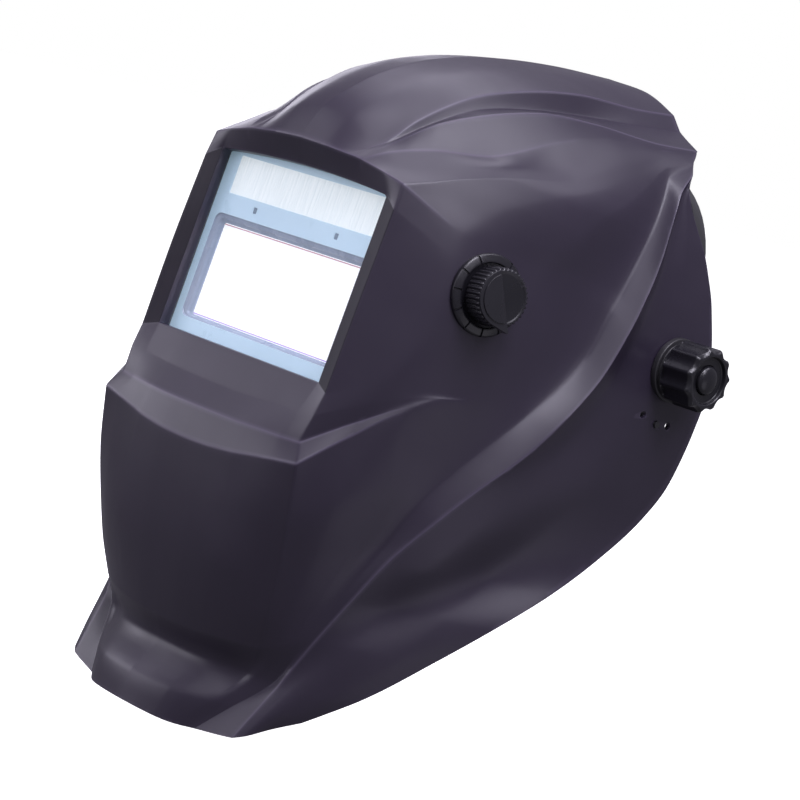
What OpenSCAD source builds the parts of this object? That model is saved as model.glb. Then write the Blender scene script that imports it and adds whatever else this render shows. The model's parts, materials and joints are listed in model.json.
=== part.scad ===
// Auto-darkening welding helmet: a flip-up shell with a filter cartridge, on an adjustable headgear.
// Millimetres. +Z up, the face looks along -Y, +X is the wearer's left.
// The origin is the middle of the pivot axis, at the wearer's temples.

/* [Shell] */
// Wall thickness of the moulded shell
wall = 2.4; // [2:0.1:2.6]
// Radius of the shell's hole for each pivot bolt
pivot_bore_r = 6.08; // [6.06:0.01:6.1]
// How far the window leans back, degrees
lean = 8; // [7:0.5:9]

/* [Filter] */
// Width of the cover plate and of the filter cartridge
plate_w = 110; // [109:0.5:110]
// Height of the cover plate and of the filter cartridge
plate_h = 90; // [89:0.5:90]
// Thickness of the clear cover plates
cover_t = 1; // [0.8:0.1:1]
// Width of the viewing area
view_w = 92; // [88:1:94]
// Height of the viewing area
view_h = 42; // [38:1:44]

/* [Shade dial] */
// Outer diameter of the dial's scale ring
ring_d = 35; // [32:1:36]
// Diameter of the dial's knob
dial_d = 24.4; // [22:0.2:25]
// Height of the dial's knob
dial_h = 11; // [9:0.5:12]
// Number of flutes round the dial's knob
dial_flutes = 36; // [24:2:44]

/* [Pivot] */
// Radius of the plain part of each pivot bolt
bolt_r = 6; // [5.98:0.01:6.02]
// Outer diameter of each pivot knob
knob_d = 29; // [26:1:30]
// Number of lobes round each pivot knob
knob_lobes = 11; // [9:1:12]
// Distance of each stop hole from the pivot axis
stop_r = 25.2; // [24:0.2:26]

/* [Headgear] */
// Width of the head opening inside the band
head_w = 154; // [150:1:156]
// Length of the head opening inside the band
head_l = 190; // [184:1:192]
// Height of the headband
band_h = 24; // [22:1:24]
// Thickness of the headband
band_t = 2.2; // [1.8:0.1:2.4]
// How far the headband is tilted, front up, degrees
band_tilt = 24; // [22:1:25]
// Diameter of the ratchet knob at the back
ratchet_d = 40; // [36:1:42]

/* [Hidden] */
$fn = 48;

eps = 0.01;
black = [0.12, 0.11, 0.13];
dark = [0.2, 0.2, 0.22];

// ---------- the shell's skin ----------
// Its left half is a net of hand-placed points. A row runs from the centre line out to the rear rim, and
// the rows follow each other from the crown's rear edge forward, down the face and out to the chin.
// Along a row the points are: 0 centre line, 1 plateau, 2 plateau edge, 3 groove, 4 crown ridge,
// 5 upper brow line, 6 side of the window, 7 brow line and front corner, 8 and 9 side panel,
// 10 foot of the swept rib, 11 crest of the rib, 12 recess behind it, 13 rear panel, 14 rim.
SKIN = [
    // rear edge of the crown
    [[0, 28, 118], [27, 26, 115.5], [52, 19, 108], [58, 19, 101.5], [80, 8, 94.6],
     [81, 6.5, 94], [82, 5.5, 93.2], [83, 4.3, 92.2], [84, 3, 91], [85, 1.5, 89.7],
     [86.5, 0, 88], [90.5, -3.5, 84], [91.2, -4.5, 82.5], [92, -5.5, 81], [92.8, -7, 79]],
    // crown
    [[0, -8, 117], [25, -8, 114.5], [50, -5, 106.3], [55, -11, 99], [75, -15, 93.5],
     [77, -15.3, 92.3], [79, -15.5, 90.8], [80.5, -15.5, 89.3], [82, -15.5, 87.5], [84.5, -15, 84.5],
     [87, -14.4, 80.5], [95, -13, 75.5], [93.5, -10.5, 74], [94.5, -8, 72.5], [95.5, -5, 70.5]],
    // crown
    [[0, -38, 114.5], [23, -38, 112], [46, -38, 105.2], [51, -36, 98.2], [66, -44, 95],
     [72.5, -43, 90.5], [77.5, -41, 86], [81, -38, 82.5], [84, -33, 79.5], [87, -26, 76.5],
     [90, -18, 73], [98.5, -17.5, 68], [95.5, -13, 66.5], [97, -7, 64.5], [98, 0, 61.5]],
    // crown
    [[0, -70, 109.5], [21, -70, 107], [42, -70, 100], [47, -68, 95], [58.5, -70, 93.3],
     [70, -72, 83], [78.5, -71, 73.5], [83, -67, 70], [87, -56, 68.5], [90.5, -40, 66.5],
     [93, -22, 64], [101.5, -21.5, 58.5], [98, -17, 57.5], [99.5, -6, 56], [100.5, 5.5, 52.5]],
    // crown
    [[0, -98, 101.5], [19, -98, 99], [39, -97, 91.5], [43, -97, 89], [49.5, -97, 86],
     [63, -101, 70.9], [72, -102, 68], [77, -101, 64.3], [86, -80, 61], [92, -54, 58.5],
     [95, -26, 54.8], [104.2, -25.3, 47.5], [100, -19, 47.5], [101.5, -6, 46.5], [102.5, 10.5, 42]],
    // crown
    [[0, -122, 90], [18, -121, 87.3], [36.3, -121, 77], [38.5, -121, 76.5], [43, -116, 78],
     [51, -122, 67.8], [64, -122, 62.5], [70, -123, 59], [83, -98, 54], [92, -65, 49],
     [96.3, -30.5, 44], [105.8, -28.8, 36.5], [101.5, -21, 37.5], [103, -5, 37], [104, 14, 33.5]],
    // crown, just behind the window arch
    [[0, -142, 74.5], [17, -141, 72.5], [34.5, -137.5, 64.5], [35.5, -136.5, 65], [37, -135, 65.5],
     [41.5, -139, 62.5], [54, -138.5, 57.5], [65, -137, 54.5], [80, -113, 45], [91, -74, 40],
     [97.1, -34.5, 35], [106.8, -32.5, 27], [102.3, -23, 29], [104, -4, 28.5], [105, 17, 24.5]],
    // arch over the window, top of its frame
    [[0, -151.5, 59.6], [15, -151.3, 59], [29, -149.8, 58], [32, -149.4, 57.8], [34.5, -149, 57.6],
     [37, -148.5, 57.2], [50, -147, 54.8], [61.5, -145, 52], [79, -121, 38], [89.8, -80, 32],
     [97.6, -38, 27], [107.3, -35.3, 19.5], [102.8, -25, 21.5], [104.5, -3, 20.5], [106, 19.4, 16]],
    // top edge of the window opening
    [[0, -145.3, 48.3], [15, -145.3, 48.1], [29, -145.4, 47.6], [32, -145.4, 47.5], [34.5, -145.4, 47.4],
     [37, -145.4, 47.2], [54.1, -145.4, 45.9], [62.3, -147.5, 41], [79.8, -124, 28], [89.6, -84, 24],
     [97.9, -41.5, 20], [107.6, -38.5, 12], [103, -27, 14], [105, -3, 13], [106.5, 21.5, 8.5]],
    // middle of the window
    [[0, -151.3, 6], [15, -151.3, 6], [29, -151.3, 6], [32, -151.3, 6], [34.5, -151.3, 6],
     [37, -151.3, 6], [54.1, -151.3, 5.5], [62.6, -154, 3], [81, -129, -3], [90.8, -90, -3],
     [98, -50, -3], [107.3, -47.5, -8], [103.5, -35, -6], [105.5, -5, -5], [107, 24.5, -8]],
    // bottom edge of the window opening
    [[0, -157.6, -35.2], [15, -157.6, -35.2], [29, -157.6, -35.2], [32, -157.6, -35.2], [34.5, -157.6, -35.2],
     [37, -157.6, -35.2], [54.1, -157.4, -35.3], [62.2, -160, -38], [77.5, -139, -26.5], [89, -107, -28],
     [95.5, -75, -31], [104.5, -66, -34.5], [103.3, -45, -28], [106, -8, -24], [107, 22.3, -25]],
    // bottom of the window frame
    [[0, -164.2, -49.9], [15, -164.1, -49.8], [29, -163.8, -49.4], [32, -163.7, -49.3], [34.5, -163.6, -49.2],
     [37, -163.4, -49], [52, -162.9, -48.3], [62, -162.8, -47.5], [75.7, -142.3, -36], [86.5, -118.5, -30],
     [93.7, -85, -40.5], [102.5, -73.5, -44], [102.5, -52, -38], [106, -14, -33], [106.5, 19.2, -40]],
    // step below the window
    [[0, -172, -60.2], [15, -171.8, -60.2], [29, -171, -60.1], [32, -170.7, -60], [34.5, -170.4, -60],
     [37, -170.1, -59.9], [50, -168.2, -59.8], [60.5, -165.6, -59.5], [72.6, -146.4, -45.5], [83.6, -128.2, -35],
     [91.7, -94, -49.5], [100, -82.5, -53.5], [101.5, -60, -49], [105.5, -24, -44], [106, 14.5, -54]],
    // top edge of the muzzle
    [[0, -176, -73.9], [15, -175.7, -73.5], [29, -174.6, -72.4], [32, -174.3, -72.1], [34.5, -173.9, -71.7],
     [37, -173.5, -71.3], [52, -171.5, -69.2], [65.5, -169.2, -67.6], [72.8, -150.2, -52], [83, -130, -37.5],
     [90, -101, -57], [97.5, -91, -61.5], [100, -70, -61], [104.5, -32, -57], [105, 4, -69.5]],
    // muzzle
    [[0, -175.5, -94], [15, -175.3, -94], [29, -174.2, -93.6], [32, -173.8, -93.4], [34.5, -173.4, -93.3],
     [37, -173, -93.2], [51.5, -170, -93], [64.7, -165.5, -92.8], [74.4, -151, -80], [82, -131.5, -70],
     [85.5, -115, -75], [91.5, -108.5, -81], [96, -90, -82], [99.8, -49.3, -78.3], [105, -16.5, -87.6]],
    // muzzle
    [[0, -173, -120], [15, -172.8, -120], [29, -171.6, -119.5], [32, -171.2, -119.3], [34.5, -170.8, -119.1],
     [37, -170.3, -118.9], [49.5, -166.5, -118.3], [61.5, -160.5, -117.5], [69, -150, -110], [74.8, -137, -103],
     [80, -123, -97], [84, -121, -99.5], [89.3, -106.3, -102.1], [93.3, -67.8, -102.6], [105.5, -43, -105.6]],
    // muzzle and the start of the flare along the lower edge
    [[0, -169.6, -137], [13.6, -169.4, -137], [26.6, -168, -136.6], [29.6, -167.5, -136.4], [32.4, -166.9, -136.2],
     [35.1, -166.3, -136], [46.4, -162.7, -135.4], [57.5, -157.2, -134.8], [64.3, -150.6, -129], [69.6, -142.4, -123.5],
     [74.2, -133.4, -119.3], [76.6, -130.3, -120.6], [79.8, -114.3, -122.6], [92.3, -89, -122.5], [101.7, -68.2, -123]],
    // bottom edge of the muzzle
    [[0, -165.8, -152], [12, -165.5, -151.9], [24, -164.1, -151.4], [27, -163.6, -151.2], [30, -163, -151],
     [33, -162.3, -150.8], [43, -158.7, -150.3], [53, -153.2, -149.8], [59, -149.5, -146.5], [63.5, -146, -143.5],
     [67.5, -141.5, -141.5], [69.5, -138.5, -141], [77, -127, -141], [88.1, -106.1, -141.7], [94, -88.6, -139.8]],
    // trough above the chin lip
    [[0, -161.3, -162], [12, -160.8, -162], [22, -159.3, -162], [25, -158.6, -162], [28, -157.8, -162],
     [31, -156.8, -162], [39, -153.2, -162], [47, -149.6, -162.3], [50, -149, -163], [53, -147, -163.2],
     [57, -144, -163.5], [61, -145.5, -164.5], [66, -144, -165], [74, -134, -164.8], [82.1, -117.6, -162.7]],
    // flare of the chin lip
    [[0, -172.6, -177.6], [11, -171.8, -177.8], [20, -170.1, -178], [22.7, -169.4, -178], [25.4, -168.4, -178],
     [28.2, -167.2, -178], [33.6, -164.2, -178], [38.9, -160.6, -178], [41.2, -158.6, -178], [43.4, -156.6, -178.2],
     [46, -154.4, -178.4], [58.6, -152.8, -177.4], [62.8, -150.8, -176.6], [69.2, -140.8, -173.8], [76.2, -127.4, -170]],
    // chin rim
    [[0, -175.5, -190], [10, -174.5, -190.3], [18, -173, -190.6], [20.5, -172.4, -190.7], [23, -171.6, -190.8],
     [25.5, -170.6, -190.9], [28.5, -168.8, -191], [31.5, -166.6, -191], [33.5, -165, -190.9], [35, -163.8, -190.8],
     [36.8, -162.6, -190.7], [56.5, -158.5, -187.8], [60, -156, -186], [65, -146, -181], [71, -135.5, -176]],
];

// How sharp the skin turns where it crosses each line of the net, from 0, smooth, to 1, an edge.
// across_edges holds [line, first row, sharpness at that row and at each one after it].
across_edges = [
    [2, 0, [0.9, 0.9, 0.95, 1, 1, 0.9, 0.4]],
    [3, 0, [0.8, 0.8, 0.8, 0.7, 0.6, 0.3]],
    [4, 0, [1, 1, 1, 1, 1, 0.8, 0.3]],
    [5, 3, [0.3, 0.9, 0.9, 0.9, 0.3]],
    [6, 7, [1, 1, 1, 1, 1, 1]],
    [7, 3, [0.5, 0.8, 0.9, 0.95, 1, 1, 1, 1, 1, 1, 1, 1, 1, 1, 1]],
    [10, 1, [0.4, 0.4, 0.4, 0.4, 0.4, 0.4, 0.4, 0.4, 0.4, 0.4, 0.4, 0.4, 0.4, 0.4, 0.4, 0.4, 0.4, 1, 1, 1]],
    [11, 0, [1, 1, 1, 1, 1, 1, 1, 1, 1, 1, 1, 1, 1, 1, 1, 1, 1, 1, 0.8, 0.8, 0.8]],
];
// down_edges holds [row, sharpness over the face, sharpness at line 8].
down_edges = [
    [7, 1, 0], [8, 1, 0], [10, 1, 0], [11, 1, 0], [12, 1, 1], [13, 1, 1], [17, 1, 0],
];
face_lines = 7;
rows = len(SKIN);
lines = len(SKIN[0]);

function across_sharp(row, line) = max([0, for (e = across_edges)
    if (e[0] == line && row >= e[1] && row < e[1] + len(e[2])) e[2][row - e[1]]]);
function down_sharp(row, line) = max([0, for (e = down_edges)
    if (e[0] == row) line <= face_lines ? e[1] : line == face_lines + 1 ? e[2] : 0]);

function heading(p, q) = (q - p) / max(norm(q - p), eps / 10);
function tangent(pts, i) =
    i == 0 ? heading(pts[0], pts[1])
    : i == len(pts) - 1 ? heading(pts[i - 1], pts[i])
    : let (before = norm(pts[i] - pts[i - 1]), after = norm(pts[i + 1] - pts[i]))
      (heading(pts[i - 1], pts[i]) * after + heading(pts[i], pts[i + 1]) * before) / (before + after);
function hermite(p, q, a, b, t) =
    (2*t*t*t - 3*t*t + 1) * p + (t*t*t - 2*t*t + t) * a + (3*t*t - 2*t*t*t) * q + (t*t*t - t*t) * b;
// A curve through pts, with steps[i] pieces from point i to the next
function curve(pts, sharp, steps) = concat(
    [for (i = [0:len(pts) - 2])
        let (v = heading(pts[i], pts[i + 1]),
             d = norm(pts[i + 1] - pts[i]),
             a = (tangent(pts, i) * (1 - sharp[i]) + v * sharp[i]) * d,
             b = (tangent(pts, i + 1) * (1 - sharp[i + 1]) + v * sharp[i + 1]) * d)
        for (k = [0:steps[i] - 1]) hermite(pts[i], pts[i + 1], a, b, k / steps[i])],
    [pts[len(pts) - 1]]);
function spread(values, steps) = concat(
    [for (i = [0:len(values) - 2]) for (k = [0:steps[i] - 1])
        values[i] + (values[i + 1] - values[i]) * k / steps[i]],
    [values[len(values) - 1]]);
function total(list, n) = n == 0 ? 0 : list[n - 1] + total(list, n - 1);

across_steps = [2, 2, 1, 1, 2, 2, 2, 3, 3, 2, 2, 1, 2, 2];
down_steps = [2, 2, 2, 2, 2, 1, 1, 1, 2, 2, 1, 1, 1, 2, 2, 2, 2, 2, 2, 2];
fine_lines = total(across_steps, lines - 1);
fine_rows = total(down_steps, rows - 1);
window_line = total(across_steps, 6);
window_top = total(down_steps, 8);
window_bottom = total(down_steps, 10);

skin_rows = [for (r = [0:rows - 1])
    curve(SKIN[r], [for (c = [0:lines - 1]) across_sharp(r, c)], across_steps)];
skin_sharp = [for (r = [0:rows - 1])
    spread([for (c = [0:lines - 1]) down_sharp(r, c)], across_steps)];
half_skin = [for (c = [0:fine_lines])
    curve([for (r = [0:rows - 1]) skin_rows[r][c]], [for (r = [0:rows - 1]) skin_sharp[r][c]], down_steps)];

// The wall is thickened towards a box-shaped core inside the head space
core_low = [-50, -90, -150];
core_high = [50, 10, 40];
function inward(p) =
    let (core = [for (i = [0:2]) min(max(p[i], core_low[i]), core_high[i])], v = p - core)
    p - wall * v / norm(v);
function skin(r, c) = let (p = half_skin[abs(c)][r]) [c < 0 ? -p[0] : p[0], p[1], p[2]];
function present(r, c) =
    r >= 0 && r < fine_rows && c >= -fine_lines && c < fine_lines
    && !(r >= window_top && r < window_bottom && c >= -window_line && c < window_line);

module skin_solid() {
    span = 2 * fine_lines + 1;
    outside = [for (r = [0:fine_rows], c = [-fine_lines:fine_lines]) skin(r, c)];
    inside = [for (p = outside) inward(p)];
    count = len(outside);
    cells = [for (r = [0:fine_rows - 1], c = [-fine_lines:fine_lines - 1])
        if (present(r, c)) [r, c, r * span + c + fine_lines]];
    quads = [for (cell = cells)
        let (r = cell[0], c = cell[1], a = cell[2], b = a + 1, d = a + span, e = d + 1)
        each [
            [a, d, e, b],
            [a + count, b + count, e + count, d + count],
            if (!present(r - 1, c)) [a, b, b + count, a + count],
            if (!present(r + 1, c)) [e, d, d + count, e + count],
            if (!present(r, c - 1)) [d, a, a + count, d + count],
            if (!present(r, c + 1)) [b, e, e + count, b + count],
        ]];
    triangles = [for (q = quads) each [[q[0], q[2], q[1]], [q[0], q[3], q[2]]]];
    polyhedron(points = concat(outside, inside), faces = triangles, convexity = 8);
}

// ---------- placing ----------
// Window frame of reference: X across, Y into the helmet, Z up the window, origin at the viewing area's centre
window_y = -143.5;
window_z = -7.1;
module in_window() translate([0, window_y, window_z]) rotate([-lean, 0, 0]) children();
// Shade dial: Z points out of the side panel
dial_place = [86.2, -107, 15.7];
dial_yaw = -12;
dial_rise = 5;
module in_dial() translate(dial_place) rotate([0, 90 - dial_rise, dial_yaw]) children();
// One side of the helmet: side is 1 for the wearer's left and -1 for the right
module on_side(side) mirror([side < 0 ? 1 : 0, 0, 0]) children();
// A round solid along X from x0 to x1
module along_x(x0, x1, r, fn = 48) translate([x0, 0, 0]) rotate([0, 90, 0]) cylinder(r = r, h = x1 - x0, $fn = fn);
// A round solid along Y from y0 to y1
module along_y(y0, y1, r, fn = 48) translate([0, y0, 0]) rotate([-90, 0, 0]) cylinder(r = r, h = y1 - y0, $fn = fn);
// A plate across the window from y0 to y1, w wide and h high, with rounded corners
module plate(y0, y1, w, h, r) {
    d = y1 - y0;
    translate([-w / 2 + r, y0, -h / 2]) cube([w - 2 * r, d, h]);
    translate([-w / 2, y0, -h / 2 + r]) cube([w, d, h - 2 * r]);
    for (x = [-1, 1], z = [-1, 1])
        translate([x * (w / 2 - r), 0, z * (h / 2 - r)]) along_y(y0, y1, r, 32);
}

// ---------- shell ----------
stop_angles = [239, 261, 279];
stop_hole_r = 1.7;
boss_x = [34, 24];
boss_z = [-42.5, 62.5];
boss_r = 4;
screw_r = 1.5;
boss_start = [-13.8, -11.4];
holder_y = -4.4;
pot_bush_r = 3.4;
// The opening's inner outline, in the window's plane: straight sides and sill, arched head
opening_half = 54.1;
opening_low = -29.9;
opening_corner = 52.2;
opening_top = 54.6;
opening_front = -9.2;
rim_t = 1.9;
module opening_outline(grow) {
    half = opening_half + grow;
    head = opening_top - opening_corner;
    polygon(concat(
        [[-half, opening_low - grow], [half, opening_low - grow], [half, opening_corner + grow - 3]],
        [for (i = [0:4]) let (a = i * 22.5)
            [half - 2.6 + 2.6 * cos(a), opening_corner + grow - 2.6 + 2.6 * sin(a)]],
        [for (i = [1:9]) let (x = 1 - i / 5) [x * (half - 2.6), opening_corner + grow + head * (1 - x * x)]],
        [for (i = [4:-1:0]) let (a = i * 22.5)
            [-half + 2.6 - 2.6 * cos(a), opening_corner + grow - 2.6 + 2.6 * sin(a)]],
        [[-half, opening_corner + grow - 3]]));
}
module along_window(y0, y1) translate([0, y1, 0]) rotate([90, 0, 0]) linear_extrude(height = y1 - y0) children();
module stop_hole(angle, x0, x1, r)
    rotate([angle - 90, 0, 0]) translate([0, 0, stop_r]) along_x(x0, x1, r, 24);
module shell() color(dark) difference() {
    union() {
        skin_solid();
        in_window() for (x = [-1, 1], i = [0, 1])
            translate([x * boss_x[i], 0, boss_z[i]]) along_y(boss_start[i], holder_y - 0.1, boss_r, 32);
        in_window() along_window(opening_front, holder_y - 0.1) difference() {
            opening_outline(rim_t);
            opening_outline(0);
        }
    }
    along_x(-125, 125, pivot_bore_r);
    for (side = [-1, 1]) on_side(side)
        for (angle = stop_angles) stop_hole(angle, 95, 115, stop_hole_r);
    for (side = [-1, 1]) on_side(side) along_x(collar_seat - 0.02, 125, collar_r + 0.1);
    in_dial() translate([0, 0, -8]) cylinder(r = pot_bush_r + 0.1, h = 16);
    in_dial() translate([0, 0, -ring_sink - 0.02]) cylinder(d = ring_d + 0.2, h = 16, $fn = 72);
    in_window() for (x = [-1, 1], i = [0, 1])
        translate([x * boss_x[i], 0, boss_z[i]]) along_y(-10.6, holder_y + 1, screw_r, 24);
}

// ---------- filter cartridge ----------
plate_z = 11;
cover_y = -4.2;
case_front_y = cover_y + cover_t + 0.1;
case_split_y = 1;
case_back_y = 6;
case_wall = 1.8;
corner_r = 3;
glass_t = 1.9;
solar_w = 95;
solar_h = 17.5;
solar_z = 43;
sensor_x = 27;
sensor_z = 30;
sensor_r = 2.2;
module cover_plate() color([0.75, 0.88, 0.95, 0.4])
    in_window() translate([0, 0, plate_z]) plate(cover_y, cover_y + cover_t, plate_w, plate_h, corner_r);
module filter_case_front() color(black) in_window() difference() {
    translate([0, 0, plate_z]) plate(case_front_y, case_split_y, plate_w, plate_h, corner_r);
    difference() {
        translate([0, 0, plate_z])
            plate(case_front_y + case_wall, case_split_y + 1, plate_w - 2 * case_wall, plate_h - 2 * case_wall, 1.5);
        translate([-view_w / 2 - 2, -10, -view_h / 2 - 2]) cube([view_w + 4, 10, view_h + 4]);
    }
    translate([-view_w / 2, -10, -view_h / 2]) cube([view_w, 20, view_h]);
    translate([-view_w / 2 - 3, -0.05, -view_h / 2 - 3]) cube([view_w + 6, 5, view_h + 6]);
    translate([-solar_w / 2, -10, solar_z - solar_h / 2]) cube([solar_w, 9.5, solar_h]);
    for (x = [-sensor_x, sensor_x]) translate([x, 0, sensor_z]) along_y(-10, 0, sensor_r + 0.1, 24);
}
module filter_case_back() color(black) in_window() difference() {
    translate([0, 0, plate_z]) plate(case_split_y + 0.05, case_back_y, plate_w, plate_h, corner_r);
    translate([0, 0, plate_z])
        plate(case_split_y - 1, case_back_y - case_wall, plate_w - 2 * case_wall, plate_h - 2 * case_wall, 1.5);
    translate([-view_w / 2, 0, -view_h / 2]) cube([view_w, 10, view_h]);
    for (x = [-control_x, control_x]) translate([x, 0, control_z]) along_y(0, 10, control_bore_r, 32);
}
module uv_ir_glass() color([0.85, 0.8, 0.95, 0.6])
    in_window() translate([-view_w / 2 - 2.5, 0, -view_h / 2 - 2.5]) cube([view_w + 5, glass_t, view_h + 5]);
module lcd_panel() color([0.35, 0.45, 0.4, 0.6])
    in_window() translate([-view_w / 2 - 2.5, 2, -view_h / 2 - 2.5]) cube([view_w + 5, glass_t, view_h + 5]);
module solar_cell() color([0.75, 0.78, 0.8]) in_window()
    union() {
        translate([-solar_w / 2 + 0.15, case_front_y + 0.4, solar_z - solar_h / 2 + 0.15])
            cube([solar_w - 0.3, 2, solar_h - 0.3]);
        translate([-solar_w / 2 - 1, case_front_y + case_wall + 0.1, solar_z - solar_h / 2 - 1])
            cube([solar_w + 2, 0.8, solar_h + 2]);
    }
module light_sensors() color([0.25, 0.3, 0.35]) in_window()
    for (x = [-sensor_x, sensor_x]) translate([x, 0, sensor_z])
        along_y(case_front_y + 0.5, case_front_y + case_wall + 1, sensor_r, 24);
board_t = 1.6;
module circuit_board() color("darkgreen") in_window()
    translate([-50, 0, view_h / 2 + 4]) cube([100, board_t, 27]);
coin_r = 10;
coin_x = 36;
coin_z = 40;
module coin_cells() color("silver") in_window()
    for (x = [-coin_x, coin_x]) translate([x, 0, coin_z]) along_y(board_t + 0.1, board_t + 2.5, coin_r, 40);
control_x = 13;
control_z = 40;
control_bore_r = 3.05;
control_r = 6.5;
module control_dial(x) color(dark) in_window() translate([x, 0, control_z]) difference() {
    union() {
        along_y(board_t + 0.1, case_back_y + 1, 3, 32);
        along_y(case_back_y + 0.3, case_back_y + 3, control_r, 40);
        for (i = [0:11]) rotate([0, i * 30, 0]) translate([control_r, 0, 0])
            along_y(case_back_y + 0.3, case_back_y + 3, 0.5, 16);
    }
    translate([-0.6, case_back_y + 2.2, -control_r]) cube([1.2, 2, control_r]);
}
module sensitivity_dial() control_dial(control_x);
module delay_dial() control_dial(-control_x);
module inner_cover_plate() color([0.8, 0.9, 0.95, 0.4])
    in_window() plate(case_back_y + 0.1, case_back_y + 0.1 + cover_t, view_w + 10, view_h + 8, 1);

// ---------- filter holder ----------
holder_gap = 0.4;
holder_wall = 2;
holder_w = plate_w + 2 * (holder_gap + holder_wall);
holder_h = plate_h + 2 * (holder_gap + holder_wall);
latch_z = -40;
latch_y = 3;
latch_pin_r = 1.5;
latch_half = 24;
module holder_ear(x, z) {
    translate([x, 0, z]) along_y(holder_y, holder_y + 2.5, 5, 32);
    low = min(z, z > 0 ? plate_z + holder_h / 2 - 1 : z);
    high = z > 0 ? z : plate_z - holder_h / 2 + 1;
    translate([x - 5, holder_y, low]) cube([10, 2.5, high - low]);
}
module filter_holder() color(dark) in_window() difference() {
    union() {
        translate([0, 0, plate_z]) plate(holder_y, 5, holder_w, holder_h, 4);
        for (x = [-1, 1], i = [0, 1]) holder_ear(x * boss_x[i], boss_z[i]);
        for (x = [-1, 1]) translate([x * latch_half - 2, latch_y - 3, latch_z - 3]) cube([4, 6, 8]);
    }
    translate([0, 0, plate_z]) plate(-10, 10, plate_w + 2 * holder_gap, plate_h + 2 * holder_gap, 3);
    for (x = [-1, 1], i = [0, 1]) translate([x * boss_x[i], 0, boss_z[i]]) along_y(-10, 0, screw_r + 0.1, 24);
    translate([0, latch_y, latch_z]) along_x(-latch_half - 5, latch_half + 5, latch_pin_r + 0.05, 32);
}
module holder_screws() color("silver") in_window()
    for (x = [-1, 1], i = [0, 1]) translate([x * boss_x[i], 0, boss_z[i]]) difference() {
        union() {
            along_y(-10, holder_y + 2.5, screw_r - 0.05, 24);
            along_y(holder_y + 2.5, holder_y + 4.3, 2.8, 32);
        }
        for (turn = [0, 90]) rotate([0, turn, 0]) translate([-1.8, holder_y + 3.4, -0.35]) cube([3.6, 2, 0.7]);
    }
module holder_latch() color(black) in_window() {
    translate([0, latch_y, latch_z]) along_x(-latch_half - 3.5, latch_half + 3.5, latch_pin_r, 32);
    for (x = [-1, 1]) translate([x * (latch_half - 4.5) - 2, latch_y - 1.5, latch_z - 1.5]) cube([4, 7, 3]);
    translate([-latch_half + 2.5, case_back_y + 0.4, latch_z - 1.5]) cube([2 * latch_half - 5, 2.1, 14]);
    translate([-7, case_back_y + 2.5, latch_z + 8]) cube([14, 2.5, 1.6]);
}

// ---------- shade dial ----------
ring_t = 2.2;
ring_sink = 1.1;
dial_z = ring_t + 0.4;
nut_t = 2;
pot_shaft_r = 3;
pot_cable_r = 1.4;
module shade_ring() color(black) in_dial() difference() {
    union() {
        translate([0, 0, -ring_sink]) cylinder(d = ring_d, h = ring_t + ring_sink - 0.5, $fn = 72);
        cylinder(d = ring_d - 2, h = ring_t, $fn = 72);
    }
    translate([0, 0, -5]) cylinder(r = pot_bush_r + 0.1, h = 12);
    for (i = [0:10]) rotate(-150 + 30 * i)
        translate([ring_d / 2 - 4.4, -0.3, ring_t - 0.3]) cube([3.2, 0.6, 1]);
}
module shade_pot() color("silver") in_dial() difference() {
    union() {
        translate([0, 0, -14]) cylinder(d = 16, h = 11);
        translate([0, 0, -5]) cylinder(r = pot_bush_r, h = ring_t + nut_t + 5.2);
    }
    translate([0, 0, -11]) cylinder(r = pot_shaft_r - 0.95, h = 20);
}
module shade_nut() color("silver") in_dial() difference() {
    translate([0, 0, ring_t]) cylinder(r = 6, h = nut_t, $fn = 6);
    translate([0, 0, ring_t - 1]) cylinder(r = pot_bush_r + 0.05, h = nut_t + 2);
}
module shade_shaft() color("silver") in_dial() {
    translate([0, 0, -10]) cylinder(r = pot_shaft_r - 1, h = 18);
    translate([0, 0, ring_t + nut_t + 0.6]) cylinder(r = pot_shaft_r, h = dial_h - 6);
}
// A round grip with shallow flutes: r is its mean radius and depth half the flutes' depth
module fluted(r, depth, count, h) linear_extrude(height = h) polygon(
    [for (i = [0:count * 6 - 1]) let (a = i * 60 / count) (r + depth * cos(i * 60)) * [cos(a), sin(a)]]);
// The pointer and the raised half of the knob's face are turned from straight down
pointer_turn = 21;
module shade_knob() color(black) in_dial() difference() {
    union() {
        translate([0, 0, dial_z]) fluted(dial_d / 2 - 0.4, 0.4, dial_flutes, dial_h);
        rotate(pointer_turn) translate([dial_d / 2 - 4, -2.4, dial_z + dial_h - 4]) cube([6, 2.4, 3.8]);
    }
    translate([0, 0, dial_z - 1]) cylinder(r = 6.6, h = nut_t + 1.6);
    translate([0, 0, dial_z]) cylinder(r = pot_shaft_r + 0.02, h = dial_h - 3);
    rotate(pointer_turn) translate([-dial_d, 0, dial_z + dial_h - 1.2]) cube([2 * dial_d, dial_d, 2]);
}
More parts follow.
